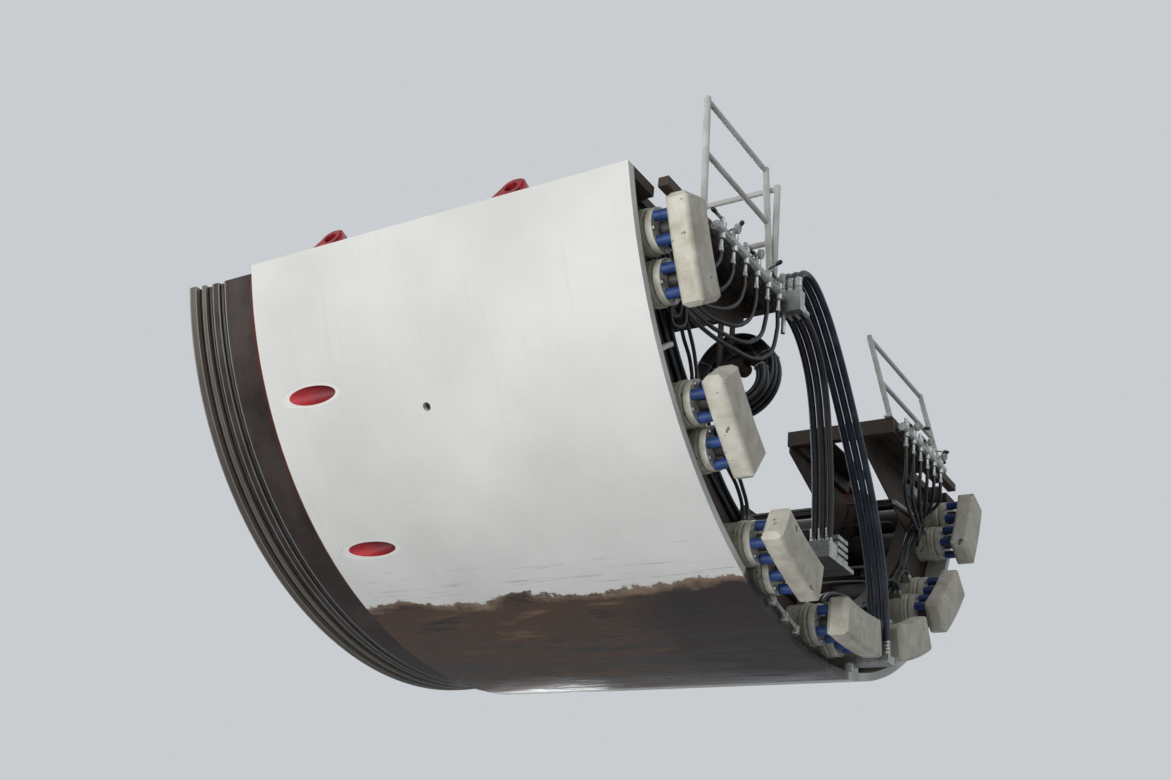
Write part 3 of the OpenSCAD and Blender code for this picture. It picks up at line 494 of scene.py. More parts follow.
def worn_paint(name, fresh, shade, chip, roughness=0.5, metal_chips=0.4, patch_mm=220,
               chip_mm=16, chip_level=0.69):
    """Brushed or sprayed paint on steel: soft patches, and chips that show what is below."""
    material, tree = new_material(name)
    place = add_node(tree, "TexCoord").outputs["Object"]
    patches = add_node(tree, "TexNoise", {
        "Vector": place, "Scale": 1000 / patch_mm, "Detail": 6.0, "Roughness": 0.6})
    chips = add_node(tree, "TexNoise", {
        "Vector": place, "Scale": 1000 / chip_mm / 2, "Detail": 4.0, "Roughness": 0.55})
    paint = add_node(tree, "ValToRGB", {0: patches}, stops=[(0.34, shade), (0.62, fresh)])
    spread = add_node(tree, "Math", {0: patches, 1: 0.35, 2: chips}, operation="MULTIPLY_ADD")
    chip_mask = add_node(tree, "MapRange", {
        "Value": spread, "From Min": chip_level + 0.17, "From Max": chip_level + 0.2})
    colour = add_node(tree, "Mix", {0: chip_mask, 6: paint, 7: linear(chip)}, data_type="RGBA")
    metal = add_node(tree, "Math", {0: chip_mask, 1: metal_chips}, operation="MULTIPLY")
    gloss = add_node(tree, "MapRange", {
        "Value": patches, "To Min": roughness - 0.1, "To Max": roughness + 0.15})
    bump = add_node(tree, "Bump", {"Height": chips, "Strength": 0.06, "Distance": 0.0015})
    return set_shader(material, Base_Color=colour, Metallic=metal, Roughness=gloss, Normal=bump)


FRAME_PRIMER = worn_paint("red-brown shop primer", "42332B", "29211D", "1E1917",
                          roughness=0.7, metal_chips=0.2)
paint_nodes(FRAME_PRIMER, "front_ring_frame", "mid_ring_frame", "aft_ring_frame",
            "rear_ring_frame", "stringers", "joint_flanges")

# Lifting lugs
# Thick flame-cut plates welded on pads, in signal red enamel that shackles have chipped.
LUG_RED = worn_paint("signal red enamel", "A6232B", "7E1B20", "4A4542", roughness=0.42,
                     patch_mm=140, chip_mm=20, chip_level=0.66)
paint_nodes(LUG_RED, "lifting_lugs")

# Drill port pipes
# Steel pipes through the skin, sprayed red inside and out, with painted shade that darkens them
# further in, and the skin's white over their outer ends, which are ground flush.
PORT_RED_SHADED = "4A1518"
PORT_SHADE_DEPTH = (0.02, 0.11)
PORT_FLUSH_DEPTH = (0.007, 0.005)


def port_paint():
    """Red pipe enamel, white where flush with the skin, with painted shade deeper in the pipe."""
    material = worn_paint("red pipe enamel", "B9252E", "93202A", "5B2A25", roughness=0.5)
    tree = material.node_tree
    red = tree.nodes["Principled BSDF"].inputs["Base Color"].links[0].from_socket
    at = shield_places(tree)
    # Painted shade: the red darkens deeper into the bore.
    deep = add_node(tree, "MapRange", {
        "Value": at["radius"], "From Min": SHIELD_R - PORT_SHADE_DEPTH[0],
        "From Max": SHIELD_R - PORT_SHADE_DEPTH[1], "To Max": 0.75})
    shaded_red = add_node(tree, "Mix", {0: deep, 6: red, 7: linear(PORT_RED_SHADED)}, data_type="RGBA")
    flush = add_node(tree, "MapRange", {
        "Value": at["radius"], "From Min": SHIELD_R - PORT_FLUSH_DEPTH[0],
        "From Max": SHIELD_R - PORT_FLUSH_DEPTH[1]})
    colour = add_node(tree, "Mix", {0: flush, 6: shaded_red, 7: linear(PAINT_WHITE)}, data_type="RGBA")
    return set_shader(material, Base_Color=colour)


paint_nodes(port_paint(), "drill_pipes")

# Thrust cylinders
# Forged barrels in dark oily paint, with off-white heads where the rods come out.
paint_nodes(worn_paint("dark cylinder paint", "4A453F", "322E2B", "6A6259", roughness=0.45),
            "cylinder_barrels")
HEAD_PAINT = worn_paint("off-white cylinder paint", "D6D4C4", "AEAC94", "756E5C",
                        roughness=0.42, patch_mm=90, chip_mm=16, chip_level=0.66)
paint_nodes(HEAD_PAINT, "cylinder_heads")

# Thrust rods
# Hard chromed rods that end in an off-white flange, with a dark ball neck behind it.
END_FLANGE_X = 3.088
SLEEVE_X = 3.133
FACE_GAP = 0.001
CHROME = "C8CACB"
NECK_DARK = "3A3836"


def rod_finish():
    """Hard chrome on the rods, off-white paint on their end flanges and a dark ball neck."""
    material, tree = new_material("hard chrome and flange paint")
    place = add_node(tree, "TexCoord").outputs["Object"]
    parts = add_node(tree, "SeparateXYZ", {0: place})
    grime = add_node(tree, "TexNoise", {"Vector": place, "Scale": 12.0, "Detail": 6.0})
    flange = add_node(tree, "Math", {
        0: parts.outputs["X"], 1: END_FLANGE_X + FRONT_X - FACE_GAP}, operation="GREATER_THAN")
    neck = add_node(tree, "Math", {
        0: parts.outputs["X"], 1: SLEEVE_X + FRONT_X + FACE_GAP}, operation="GREATER_THAN")
    paint = add_node(tree, "ValToRGB", {0: grime}, stops=[(0.35, "B4B1A2"), (0.6, "DAD8CB")])
    painted = add_node(tree, "Mix", {0: flange, 6: linear(CHROME), 7: paint}, data_type="RGBA")
    colour = add_node(tree, "Mix", {0: neck, 6: painted, 7: linear(NECK_DARK)}, data_type="RGBA")
    bare = add_node(tree, "Math", {0: 1.0, 1: flange}, operation="SUBTRACT")
    oiled = add_node(tree, "MapRange", {"Value": grime, "To Min": 0.08, "To Max": 0.2})
    gloss = add_node(tree, "Mix", {0: flange, 2: oiled, 3: 0.45})
    return set_shader(material, Base_Color=colour, Metallic=bare, Roughness=gloss)


SHOES = range(1, 8)
paint_nodes(rod_finish(), *[f"rods_{k}" for k in SHOES])

# Spring sleeves
# Blue enamelled cups round the spring bolts that hold each shoe to its two rods.
paint_nodes(worn_paint("blue enamel", "2B4A86", "1E3460", "1C2028", roughness=0.4,
                       patch_mm=60, chip_mm=9), *[f"spring_sleeves_{k}" for k in SHOES])

# Thrust shoes
# Cast off-white polyurethane blocks, greyed and chipped where they press on the lining.
paint_nodes(worn_paint("cast polyurethane", "D8D4C6", "B4AD9B", "7A6B57", roughness=0.5,
                       metal_chips=0.0, patch_mm=160, chip_mm=30, chip_level=0.68),
            *[f"shoe_{k}" for k in SHOES])

# Platforms
# Welded beams, gussets and tread plate in brown primer, scuffed and dusty.
paint_nodes(worn_paint("brown deck primer", "54473C", "352C25", "7D7264", roughness=0.65),
            "platform_near", "platform_far")

# Guard rails
# Welded tube in white paint, rubbed grey at the bends.
RAIL_WHITE = worn_paint("white rail paint", "DDDEDA", "C2C2BD", "8B877F", roughness=0.42,
                        patch_mm=160, chip_mm=30, chip_level=0.76)
paint_nodes(RAIL_WHITE, "rear_rail_near", "rear_rail_far", "inner_rail_near")

# Valve banks, manifold and rim block
# Zinc plated steel valves and blocks.
paint_nodes(ZINC, "valve_bank_near", "valve_bank_far", "hose_manifold", "rim_block")

# Hose coils
# Black rubber hoses for the upper segment's cylinders, coiled up and hung on pegs.
paint_nodes(HOSE_BLACK, "hose_loops")

# Bolts and gland rings of the thrust cylinders
# Each head has a raised gland ring that keeps the rod's seals in, and each rod's end flange is
# bolted on with four hexagon bolts on washers, between its spring sleeves.
SHOE_STEP_DEG = 360 / 17
PAIR_HALF_DEG = 3.096
PITCH_R = 2.870
HEAD_R = 0.1425
FLANGE_BOLT_CIRCLE = 0.118
FLANGE_BOLT_R = 0.017
GLAND_X = 3.022
GLAND_PROFILE = [
    (0.1420, 0.0), (0.1470, 0.0), (0.1490, 0.002), (0.1490, 0.018), (0.1455, 0.020),
    (0.1455, 0.026), (0.1490, 0.028), (0.1490, 0.042), (0.1470, 0.044), (0.1420, 0.044),
    (0.1420, 0.0)]


def cylinder_place(x, angle_deg):
    """The matrix of a cylinder's axis at a length, its own -Z pointing at the skin."""
    turn = Matrix.Rotation(math.radians(angle_deg), 4, "X")
    return Matrix.Translation(in_shield(x, 0, 0)) @ turn @ Matrix.Translation((0, 0, -PITCH_R))


def cylinder_angles(shoe):
    """The angles of a shoe's two cylinders, from the bottom."""
    middle = (shoe - 4) * SHOE_STEP_DEG
    return [middle - PAIR_HALF_DEG, middle + PAIR_HALF_DEG]


def bolt_part(radius):
    """A hexagon bolt head on its washer, standing on Z = 0, all in proportion to its radius."""
    washer = turned_part("washer", [
        (0, 0), (1.25 * radius, 0), (1.25 * radius, 0.14 * radius), (0, 0.14 * radius)], 20)
    head = hex_part("head", radius, 0.8 * radius, 0.08 * radius)
    return join_parts("bolt", [washer, head])


ALONG_X = Matrix.Rotation(math.radians(90), 4, "Y")
ALL_CYLINDERS = [angle for shoe in SHOES for angle in cylinder_angles(shoe)]
gland_rings = copies("gland_rings", turned_part("gland", GLAND_PROFILE, steps=48),
                     [cylinder_place(GLAND_X, angle) @ ALONG_X for angle in ALL_CYLINDERS])
smooth(gland_rings, 30)
dress(gland_rings, HEAD_PAINT)
for shoe in SHOES:
    bolts = copies(f"end_flange_bolts_{shoe}", bolt_part(FLANGE_BOLT_R), [
        cylinder_place(SLEEVE_X, angle) @ Matrix.Rotation(math.radians(quarter), 4, "X")
        @ Matrix.Translation((0, 0, FLANGE_BOLT_CIRCLE)) @ ALONG_X
        for angle in cylinder_angles(shoe) for quarter in (0, 90, 180, 270)])
    dress(bolts, ZINC, f"thrust_{shoe}")

# Oil ports and jumper hoses of the cylinder heads
# A steel block on each head's inner side takes the oil. Small rubber hoses jump from block to
# block and sag between them. JUMPER_SHAPE gives the share of the way, of the sag and of the shift.
PORT_BLOCK_X = 2.985
PORT_BLOCK = (0.072, 0.060, 0.040)
PORT_BLOCK_OUT = HEAD_R + 0.016
NIPPLE_OUT = HEAD_R + 0.036
NIPPLE_SHIFTS = (-0.018, 0.018)
JUMPER_R = 0.0125
JUMPER_TOP_R = PITCH_R - HEAD_R - 0.034
JUMPER_SAG = 0.05
JUMPER_SAG_A_DEG = 0.0085
JUMPER_SHAPE = [
    (0.0, 0.0, 1.0), (0.04, 0.5, 1.0), (0.25, 0.95, 1.0), (0.5, 1.0, 1.4), (0.75, 0.95, 1.0),
    (0.96, 0.5, 1.0), (1.0, 0.0, 1.0)]


def ring_place(x, radius, angle_deg):
    """A place at a length, a distance from the axis and an angle from the bottom."""
    turn = math.radians(angle_deg)
    return in_shield(x, radius * math.sin(turn), -radius * math.cos(turn))


def block_part(name, size, edge):
    """A rectangular block about the origin with bevelled edges."""
    bpy.ops.object.select_all(action="DESELECT")
    bpy.ops.mesh.primitive_cube_add(size=1)
    bpy.context.object.scale = size
    return bevelled(name, edge, 2)


def tube_piece(name, routes, radius, closed=False, sides=5):
    """Tubes of one radius along smooth routes, as one mesh."""
    curve = bpy.data.curves.new(name, "CURVE")
    curve.dimensions = "3D"
    curve.bevel_depth = radius
    curve.bevel_resolution = sides - 1
    curve.resolution_u = 6
    curve.use_fill_caps = True
    for route in routes:
        spline = curve.splines.new("BEZIER")
        spline.bezier_points.add(len(route) - 1)
        spline.use_cyclic_u = closed
        for knot, point in zip(spline.bezier_points, route):
            knot.co = point
            knot.handle_left_type = knot.handle_right_type = "AUTO"
    piece = bpy.data.objects.new(name, curve)
    bpy.context.collection.objects.link(piece)
    select_only(piece)
    bpy.ops.object.convert(target="MESH")
    bpy.ops.object.shade_smooth_by_angle(angle=math.radians(50))
    return piece


port_blocks = copies("head_port_blocks", block_part("block", PORT_BLOCK, edge=0.004), [
    cylinder_place(PORT_BLOCK_X, angle) @ Matrix.Translation((0, 0, PORT_BLOCK_OUT))
    for angle in ALL_CYLINDERS])
dress(port_blocks, ZINC)
port_nipples = copies("head_port_nipples", join_parts("nipple", [
    turned_part("collar", [(0, 0), (0.016, 0), (0.016, 0.022), (0, 0.022)], 20),
    hex_part("nut", radius=0.019, height=0.013, edge=0.0015)]), [
    cylinder_place(PORT_BLOCK_X + shift, angle) @ Matrix.Translation((0, 0, NIPPLE_OUT))
    for angle in ALL_CYLINDERS for shift in NIPPLE_SHIFTS])
dress(port_nipples, ZINC)
jumper_routes = []
for left, right in zip(ALL_CYLINDERS, ALL_CYLINDERS[1:]):
    sag = JUMPER_SAG + JUMPER_SAG_A_DEG * (right - left)
    jumper_routes += [
        [ring_place(PORT_BLOCK_X + out * shift, JUMPER_TOP_R - drop * sag,
                    left + way * (right - left)) for way, drop, out in JUMPER_SHAPE]
        for shift in NIPPLE_SHIFTS]
dress(tube_piece("head_jumper_hoses", jumper_routes, JUMPER_R), HOSE_BLACK)

# Ring main and invert hoses
# Rubber hoses lie along the rear ring's inner edge from the near platform round to the far one,
# and a loose bundle runs along the bottom inside the rings, each hose a little out of line.
RING_MAIN = [(2.929, 2.622), (2.931, 2.651), (2.957, 2.634), (2.928, 2.680)]
MAIN_ANGLES = [-66, -60, -52, -44, -36, -28, -20, -12, -4, 4, 12, 20, 28, 36, 44, 52, 60, 66]
MAIN_HOSE_R = 0.0135
INVERT_HOSE_R = 0.021
INVERT_X = [0.35 + 0.24 * i for i in range(11)]
SWAY_X = 0.004
SWAY_R = 0.006
SWAY_DEG = 0.9
main_routes = [
    [ring_place(x + SWAY_X * math.sin(1.9 * i + number),
                radius + SWAY_R * math.sin(2.3 * i + 1.7 * number), angle)
     for i, angle in enumerate(MAIN_ANGLES)]
    for number, (x, radius) in enumerate(RING_MAIN)]
dress(tube_piece("ring_main_hoses", main_routes, MAIN_HOSE_R), HOSE_BLACK)
INVERT_HOSES = [(-19.0, 2.500), (-17.9, 2.505), (-16.9, 2.498), (-18.4, 2.470), (-17.3, 2.468),
                (3.2, 2.500), (4.3, 2.503), (5.4, 2.496)]
invert_routes = [
    [ring_place(x, radius + SWAY_R * math.sin(1.3 * i + number),
                angle + SWAY_DEG * math.sin(0.55 * i + 0.2 * number))
     for i, x in enumerate(INVERT_X)]
    for number, (angle, radius) in enumerate(INVERT_HOSES)]
dress(tube_piece("invert_hoses", invert_routes, INVERT_HOSE_R), HOSE_BLACK)

# Oil pipes inside the rings
# Steel pipes run inside the ring frames to each barrel's front end, bent outwards to a port
# boss there and into the rear ring behind.
PIPE_FINISH = worn_paint("grey oil pipe paint", "6B6C69", "4A4A47", "8D8B84", roughness=0.45,
                         patch_mm=90, chip_mm=10)
OIL_PIPE_R = 0.012
OIL_PIPE_PATH = [
    (0.46, 2.742), (0.46, 2.62), (0.475, 2.585), (0.52, 2.572), (1.6, 2.572), (2.68, 2.572),
    (2.74, 2.585), (2.765, 2.62), (2.765, 2.742)]
BOSS_SIZE = (0.07, 0.06, 0.03)
BOSS_X = (0.46, 2.745)
BOSS_OUT = 0.138
pipe_routes = [[ring_place(x, radius, angle) for x, radius in OIL_PIPE_PATH]
               for angle in ALL_CYLINDERS]
dress(tube_piece("barrel_oil_pipes", pipe_routes, OIL_PIPE_R), PIPE_FINISH)
bosses = copies("barrel_port_bosses", block_part("boss", BOSS_SIZE, edge=0.005), [
    cylinder_place(x, angle) @ Matrix.Translation((0, 0, BOSS_OUT))
    for angle in ALL_CYLINDERS for x in BOSS_X])
dress(bosses, PIPE_FINISH)

# Weld beads
# Fillet welds run along the ring frames on the skin and round the lifting lugs' pads, in the
# finish of what they join.
BEAD_R = 0.009
ARC_LIMIT_DEG = 73.3
RING_FACES = [0.230, 1.150, 1.195, 2.250, 2.295, 2.790, 2.910]
FRAME_R = 3.0747
LUG_X = [0.520, 2.080]
LUG_Y = 2.84593
PAD_BEAD_R = 0.008
PAD_BEAD_Z = -0.862652
PAD_HALF = (0.209, 0.084)
PAD_OUTLINE = [
    (-1, -1), (-0.3, -1), (0.3, -1), (1, -1), (1, 0), (1, 1), (0.3, 1), (-0.3, 1), (-1, 1),
    (-1, 0)]
arc_steps = [ARC_LIMIT_DEG * (i / 30 - 1) for i in range(61)]
ring_beads = tube_piece("ring_weld_beads", [
    [ring_place(x, FRAME_R, angle) for angle in arc_steps] for x in RING_FACES], BEAD_R, sides=3)
dress(ring_beads, FRAME_PRIMER)
pad_routes = [
    [in_shield(x + PAD_HALF[0] * a, side * LUG_Y + PAD_HALF[1] * b, PAD_BEAD_Z)
     for a, b in PAD_OUTLINE]
    for x in LUG_X for side in (-1, 1)]
dress(tube_piece("lug_weld_beads", pad_routes, PAD_BEAD_R, closed=True), LUG_RED)

# Cheek rings of the lifting lugs
# A doubling ring is welded on both sides of each lug round its eye.
LUG_LEAN_DEG = 22
EYE_Y = 2.769167
LUG_HALF = 0.040
CHEEK_PROFILE = [
    (0.0465, 0.0), (0.082, 0.0), (0.082, 0.009), (0.079, 0.012), (0.0485, 0.012),
    (0.0465, 0.010), (0.0465, 0.0)]
cheek_places = []
for x in LUG_X:
    for side in (-1, 1):
        lean = math.radians(LUG_LEAN_DEG)
        way = Vector((0, side * math.cos(lean), math.sin(lean)))
        centre = Vector((x + FRONT_X, side * EYE_Y, 0))
        cheek_places += [pointing(centre + way * LUG_HALF, way),
                         pointing(centre - way * LUG_HALF, -way)]
cheeks = copies("lug_cheek_rings", turned_part("cheek", CHEEK_PROFILE, steps=48), cheek_places)
smooth(cheeks, 30)
dress(cheeks, LUG_RED)

# Spigot seals
# Two round rubber seals lie in the spigot's grooves, a little below its surface.
SEAL_X = [-0.5175, -0.3925]
SEAL_MIDDLE_R = 3.0335
SEAL_CORD_R = 0.0135
seals = tube_piece("spigot_seals", [
    [ring_place(x, SEAL_MIDDLE_R, angle) for angle in arc_steps] for x in SEAL_X], SEAL_CORD_R,
    sides=4)
dress(seals, HOSE_BLACK)

# Grease plugs
# A square-socket plug closes the grease hole in each side of the skin, deep in its hole.
PLUG_PROFILE = [
    (0.0, 0.0), (0.029, 0.0), (0.029, 0.016), (0.026, 0.019), (0.011, 0.019), (0.011, 0.008),
    (0.0, 0.008)]
PLUG_X = 1.343
PLUG_R = 3.088
PLUG_DEG = 51.8
plugs = copies("grease_plugs", turned_part("plug", PLUG_PROFILE, steps=32), [
    pointing(ring_place(PLUG_X, PLUG_R, angle), ring_place(0, 1, angle) - in_shield(0, 0, 0))
    for angle in (-PLUG_DEG, PLUG_DEG)])
smooth(plugs, 30)
dress(plugs, worn_paint("oiled plug steel", "2E2B28", "1D1B19", "55504A", roughness=0.45,
                        metal_chips=0.6, patch_mm=40, chip_mm=8))

# Rail feet and deck studs
# Every rail post stands on a small plate with four nuts, and three capped studs stand on the
# near platform's inner beam.
DECK_Z = -0.799652
RAIL_Y = 1.135
REAR_RAIL_X = 3.145
FOOT_SIZE = (0.066, 0.130, 0.008)
FOOT_Z = DECK_Z + 0.0045
FOOT_NUT_X = 0.024
FOOT_NUT_Y = 0.056
FOOT_NUT_Z = DECK_Z + 0.008
POST_FEET_Y = [-RAIL_Y - 0.027, -2.18, RAIL_Y, 2.40]
STUD_X = (2.47, 2.54, 2.61)
foot_plates = copies("rail_foot_plates", block_part("plate", FOOT_SIZE, edge=0.002), [
    Matrix.Translation(in_shield(REAR_RAIL_X, y, FOOT_Z)) for y in POST_FEET_Y])
dress(foot_plates, RAIL_WHITE)
foot_nuts = copies("rail_foot_nuts", hex_part("nut", radius=0.0075, height=0.010, edge=0.001), [
    Matrix.Translation(in_shield(REAR_RAIL_X + a * FOOT_NUT_X, y + b * FOOT_NUT_Y, FOOT_NUT_Z))
    for y in POST_FEET_Y for a in (-1, 1) for b in (-1, 1)])
dress(foot_nuts, ZINC)
STUD_PROFILE = [
    (0.0, 0.0), (0.013, 0.0), (0.013, 0.074), (0.019, 0.078), (0.019, 0.096), (0.014, 0.102),
    (0.0, 0.102)]
studs = copies("deck_studs", join_parts("stud", [
    turned_part("shank", STUD_PROFILE, steps=24),
    hex_part("nut", radius=0.024, height=0.018, edge=0.002)]), [
    Matrix.Translation(in_shield(x, -RAIL_Y, DECK_Z)) for x in STUD_X])
smooth(studs)
dress(studs, ZINC)

# Valve bank trim
# Each valve lever ends in a black rubber grip. A rubber hose hangs from each valve's tail and
# swings outwards to the ring main, and every second valve has a pressure gauge on the header.
HEADER_X = 3.235
HEADER_Z = DECK_Z - 0.065
VALVE_YS = [1.245 + 0.17 * i for i in range(6)]
LEVER_TURNS_DEG = [90, 25, 90, -90, 40, 90]
LEVER_Z = HEADER_Z + 0.090
LEVER_L = 0.086
TAIL_HOSE_R = 0.0145
TAIL_STEP = 0.038
TAIL_END_Y = 2.24
GAUGE_YS = [y + 0.085 for y in VALVE_YS[:5:2]]
GAUGE_STEM = [(0.0, 0.030), (0.012, 0.050), (0.055, 0.056)]
GAUGE_STEM_R = 0.007
GRIP_PROFILE = [
    (0.0, 0.0), (0.010, 0.0), (0.014, 0.006), (0.016, 0.030), (0.015, 0.046), (0.009, 0.054),
    (0.0, 0.056)]
GAUGE_PROFILE = [
    (0.0, 0.0), (0.030, 0.0), (0.034, 0.003), (0.034, 0.028), (0.031, 0.031), (0.029, 0.029),
    (0.029, 0.027), (0.0, 0.027)]
GAUGE_GREY = worn_paint("gauge case and glass", "C9CBC6", "8F928E", "4A4C4A", roughness=0.2,
                        metal_chips=0.0, patch_mm=45, chip_mm=8)
grip_places = []
tail_routes = []
tail_nut_places = []
gauge_places = []
for side in (-1, 1):
    for i, y in enumerate(VALVE_YS):
        turn = math.radians(LEVER_TURNS_DEG[i])
        way = Vector((math.cos(turn), side * math.sin(turn), 0))
        grip_places.append(pointing(in_shield(HEADER_X, side * y, LEVER_Z) + way * LEVER_L, way))
        low = TAIL_STEP * (5 - i)
        across = (y + TAIL_END_Y) / 2
        tail_nut_places.append(Matrix.Translation(in_shield(HEADER_X, side * y, HEADER_Z - 0.150)))
        tail_routes.append([
            in_shield(HEADER_X, side * y, HEADER_Z - 0.125),
            in_shield(HEADER_X, side * y, HEADER_Z - 0.200 - 0.5 * low),
            in_shield(HEADER_X - 0.030, side * (y + 0.05), HEADER_Z - 0.300 - low),
            in_shield(HEADER_X - 0.110, side * across, HEADER_Z - 0.370 - 1.3 * low),
            in_shield(3.010 + 0.012 * i, side * 2.170, HEADER_Z - 0.400 - 0.6 * low),
            ring_place(2.945 + 0.012 * i, 2.640, side * (62 - 1.5 * i)),
            ring_place(2.935 + 0.012 * i, 2.650, side * (67 - 1.5 * i))])
    gauge_places += [pointing(in_shield(HEADER_X + 0.052, side * y, HEADER_Z + 0.055),
                              (1, -0.2 * side, -0.25)) for y in GAUGE_YS]
grips = copies("lever_grips", turned_part("grip", GRIP_PROFILE, steps=20), grip_places)
smooth(grips, 60)
dress(grips, HOSE_BLACK)
dress(tube_piece("valve_tail_hoses", tail_routes, TAIL_HOSE_R), HOSE_BLACK)
tail_nuts = copies("valve_tail_nuts", hex_part("nut", radius=0.0215, height=0.030, edge=0.002),
                   tail_nut_places)
dress(tail_nuts, ZINC)
gauges = copies("pressure_gauges", turned_part("gauge", GAUGE_PROFILE, steps=32), gauge_places)
smooth(gauges, 30)
dress(gauges, GAUGE_GREY)
gauge_stems = tube_piece("gauge_stems", [
    [in_shield(HEADER_X + out, side * y, HEADER_Z + up) for out, up in GAUGE_STEM]
    for side in (-1, 1) for y in GAUGE_YS], GAUGE_STEM_R)
dress(gauge_stems, ZINC)

# Outlet drain pipe
# A short pipe hangs from the bottom of the near platform's hose outlet block.
OUTLET_X = 3.225
OUTLET_Y = -1.128
DRAIN_DROPS = (0.170, 0.240, 0.320)
DRAIN_R = 0.016
drain_pipe = tube_piece("outlet_drain_pipe", [
    [in_shield(OUTLET_X, OUTLET_Y, DECK_Z - drop) for drop in DRAIN_DROPS]], DRAIN_R)
dress(drain_pipe, ZINC)

# Ties of the coiled hoses
# Bands hold each coil's turns together at three places round it. A set of coils gives its place
# along the shield, its drop below the deck, each coil's place aside, its first radius and turns.
COIL_SETS = [
    (2.904, -0.430, (1.080, 1.140, 1.200), 0.214, 3),
    (3.034, -0.640, (1.310, 1.365), 0.140, 2)]
COIL_HOSE_R = 0.017
COIL_PITCH = 0.0343
COIL_PEG_R = 0.030
COIL_PEG_GAP = 0.0003
BAND_R = 0.003
BAND_CORNER = 0.012
BAND_DEG = (25, 155, 250)
TIE_WHITE = worn_paint("nylon band", "B9BCBE", "8C9092", "5A5D5F", roughness=0.45,
                       metal_chips=0.0, patch_mm=20, chip_mm=5)
band_routes = []
for x, drop, ys, first_r, turns in COIL_SETS:
    centre_z = DECK_Z + drop + COIL_PEG_R + COIL_PEG_GAP + COIL_HOSE_R - first_r
    inner = first_r - COIL_HOSE_R - BAND_R
    outer = first_r + (turns - 1) * COIL_PITCH + COIL_HOSE_R + BAND_R
    half = COIL_HOSE_R + BAND_R
    loop = [(inner + BAND_CORNER, -half), (outer - BAND_CORNER, -half),
            (outer, -half + BAND_CORNER), (outer, half - BAND_CORNER),
            (outer - BAND_CORNER, half), (inner + BAND_CORNER, half),
            (inner, half - BAND_CORNER), (inner, -half + BAND_CORNER)]
    for y in ys:
        for turn in map(math.radians, BAND_DEG):
            band_routes.append([
                in_shield(x + r * math.cos(turn), -y + a, centre_z + r * math.sin(turn))
                for r, a in loop])
dress(tube_piece("coil_ties", band_routes, BAND_R, closed=True, sides=3), TIE_WHITE)

# Fittings on the rear rim
# A bright pipe hugs the rim between two of the low shoes, on small welded tabs, and a short stub
# sits beside the lowest shoe. A pale cable bracket sits below the near platform.
RIM_PIPE_X = 3.112
RIM_PIPE_R = 3.035
RIM_PIPE_DEG = [(-17.6, -15.6, -13.6, -11.6, -9.6), (7.2, 7.9, 8.6)]
RIM_PIPE_HALF = 0.014
TAB_SIZE = (0.060, 0.034, 0.060)
TAB_X = 3.100
TAB_R = 3.050
TAB_DEG = (-17.2, -13.4, -10.0, 7.9)
BRACKET_SIZE = (0.050, 0.030, 0.150)
BRACKET_X = 3.060
BRACKET_R = 2.985
BRACKET_DEG = -53.2


def ring_turned(x, radius, angle_deg):
    """The matrix of a place on a ring, turned with it."""
    turn = Matrix.Rotation(math.radians(angle_deg), 4, "X")
    return Matrix.Translation(ring_place(x, radius, angle_deg)) @ turn


rim_pipe = tube_piece("rim_pipe", [
    [ring_place(RIM_PIPE_X, RIM_PIPE_R, angle) for angle in run] for run in RIM_PIPE_DEG],
    RIM_PIPE_HALF)
dress(rim_pipe, ZINC)
rim_tabs = copies("rim_tabs", block_part("tab", TAB_SIZE, edge=0.004), [
    ring_turned(TAB_X, TAB_R, angle) for angle in TAB_DEG])
dress(rim_tabs, ZINC)
cable_bracket = copies("cable_bracket", block_part("bracket", BRACKET_SIZE, edge=0.006), [
    ring_turned(BRACKET_X, BRACKET_R, BRACKET_DEG)])
dress(cable_bracket, RAIL_WHITE)

# Fittings by the far platform
# A pipe and its distributor block are clamped to the rear gusset below the platform. They are
# painted white as painted light, to look as bright as lit metal in the shade there.
GUSSET_BACK_X = 2.910
FAR_PIPE_Y = (1.80, 1.94, 2.08, 2.24)
FAR_PIPE_Z = -1.255
FAR_PIPE_RISE = 0.08
FAR_PIPE_R = 0.020
FAR_BLOCK_SIZE = (0.060, 0.170, 0.080)
FAR_BLOCK_PLACE = (GUSSET_BACK_X + 0.028, 2.225, -1.010)
far_pipe = tube_piece("far_gusset_pipe", [[
    in_shield(GUSSET_BACK_X + 0.018, y, FAR_PIPE_Z + FAR_PIPE_RISE * (y - FAR_PIPE_Y[0]))
    for y in FAR_PIPE_Y]], FAR_PIPE_R)
dress(far_pipe, RAIL_WHITE)
far_block = copies("far_gusset_block", block_part("block", FAR_BLOCK_SIZE, edge=0.006), [
    Matrix.Translation(in_shield(*FAR_BLOCK_PLACE))])
dress(far_block, RAIL_WHITE)

# Drill pipe flange bolts
# Eight bolts close each drill pipe's inner flange.
PORT_SLOPE_DEG = 17.2
PORT_X = 0.390
PORT_L = 1.350
PORT_DEG = (34.1, 55.8)
PORT_BOLT_CIRCLE = 0.096
PORT_BOLT_R = 0.0105
port_bolt_places = []
for side in (-1, 1):
    for angle in PORT_DEG:
        rear_end = (Matrix.Translation(in_shield(0, 0, 0))
                    @ Matrix.Rotation(math.radians(side * angle), 4, "X")
                    @ Matrix.Translation((PORT_X, 0, -SHIELD_R))
                    @ Matrix.Rotation(math.radians(90 - PORT_SLOPE_DEG), 4, "Y"))
        port_bolt_places += [
            rear_end @ Matrix.Rotation(math.radians(45 * i + 22.5), 4, "Z")
            @ Matrix.Translation((PORT_BOLT_CIRCLE, 0, PORT_L)) for i in range(8)]
port_bolts = copies("drill_pipe_bolts", bolt_part(PORT_BOLT_R), port_bolt_places)
dress(port_bolts, ZINC)

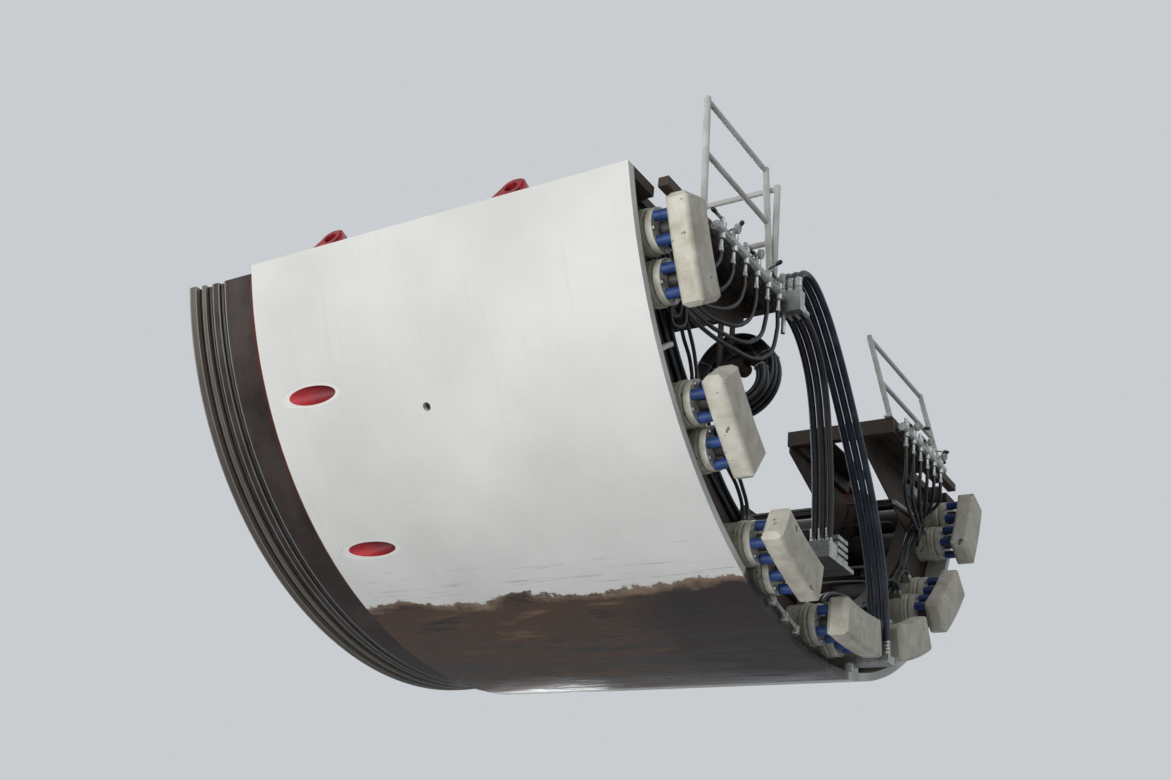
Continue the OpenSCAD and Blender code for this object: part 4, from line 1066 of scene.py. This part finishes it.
# Floor and light
# A plain pale floor below the hanging segment, a pale backdrop, and large soft lamps. The floor
# glows a little for the camera alone, so that it looks as pale as the backdrop.
FLOOR_Z = -8.0
FLOOR_SIZE = 120.0
FLOOR_GLOW = 0.35
BACKDROP = "C9CDD1"
LAMPS = [
    ("key", (0.5, -14.0, -2.6), 6.0, 630.0),
    ("front", (-10.0, -5.0, 1.0), 6.0, 200.0),
    ("rear", (10.0, -1.0, 4.0), 6.0, 130.0),
    ("low", (1.0, -11.0, -4.5), 5.0, 240.0),
    ("far", (-5.0, 6.5, -2.0), 1.8, 34.0),
    ("sky", (-7.0, 9.0, 7.0), 8.0, 600.0)]
AIM = (0.0, 0.0, -1.0)

bpy.ops.mesh.primitive_plane_add(size=FLOOR_SIZE, location=(0, 0, FLOOR_Z))
floor = bpy.context.object
floor.name = "floor"
floor_material, floor_tree = new_material("pale floor")
speckle = add_node(floor_tree, "TexNoise", {"Scale": 4.0, "Detail": 4.0})
floor_colour = add_node(floor_tree, "ValToRGB", {0: speckle},
                        stops=[(0.3, "C6CACE"), (0.7, "CCD0D4")])
floor_rays = add_node(floor_tree, "LightPath")
floor_glow = add_node(floor_tree, "Math", {
    0: floor_rays.outputs["Is Camera Ray"], 1: FLOOR_GLOW}, operation="MULTIPLY")
floor.data.materials.append(set_shader(
    floor_material, Base_Color=floor_colour, Emission_Color=floor_colour,
    Emission_Strength=floor_glow, Roughness=0.9))

world = bpy.data.worlds.new("backdrop")
bpy.context.scene.world = world
world.use_nodes = True
world_tree = world.node_tree
world_tree.nodes.clear()
rays = add_node(world_tree, "LightPath")
seen_or_mirrored = add_node(world_tree, "Math", {
    0: rays.outputs["Is Camera Ray"], 1: rays.outputs["Is Glossy Ray"]}, operation="MAXIMUM")
seen = add_node(world_tree, "Math", {
    0: seen_or_mirrored, 1: rays.outputs["Is Transmission Ray"]}, operation="MAXIMUM")
ambient = add_node(world_tree, "Background", {"Color": linear("E9EDF2"), "Strength": 0.25})
backdrop = add_node(world_tree, "Background", {"Color": linear(BACKDROP), "Strength": 1.0})
either = add_node(world_tree, "MixShader", {0: seen, 1: ambient, 2: backdrop})
add_node(world_tree, "OutputWorld", {"Surface": either})

for name, place, size, watts in LAMPS:
    lamp_data = bpy.data.lights.new(name, "AREA")
    lamp_data.shape = "DISK"
    lamp_data.size = size
    lamp_data.energy = watts
    lamp = bpy.data.objects.new(name, lamp_data)
    lamp.location = place
    lamp.rotation_euler = (Vector(AIM) - Vector(place)).to_track_quat("-Z", "Y").to_euler()
    bpy.context.collection.objects.link(lamp)
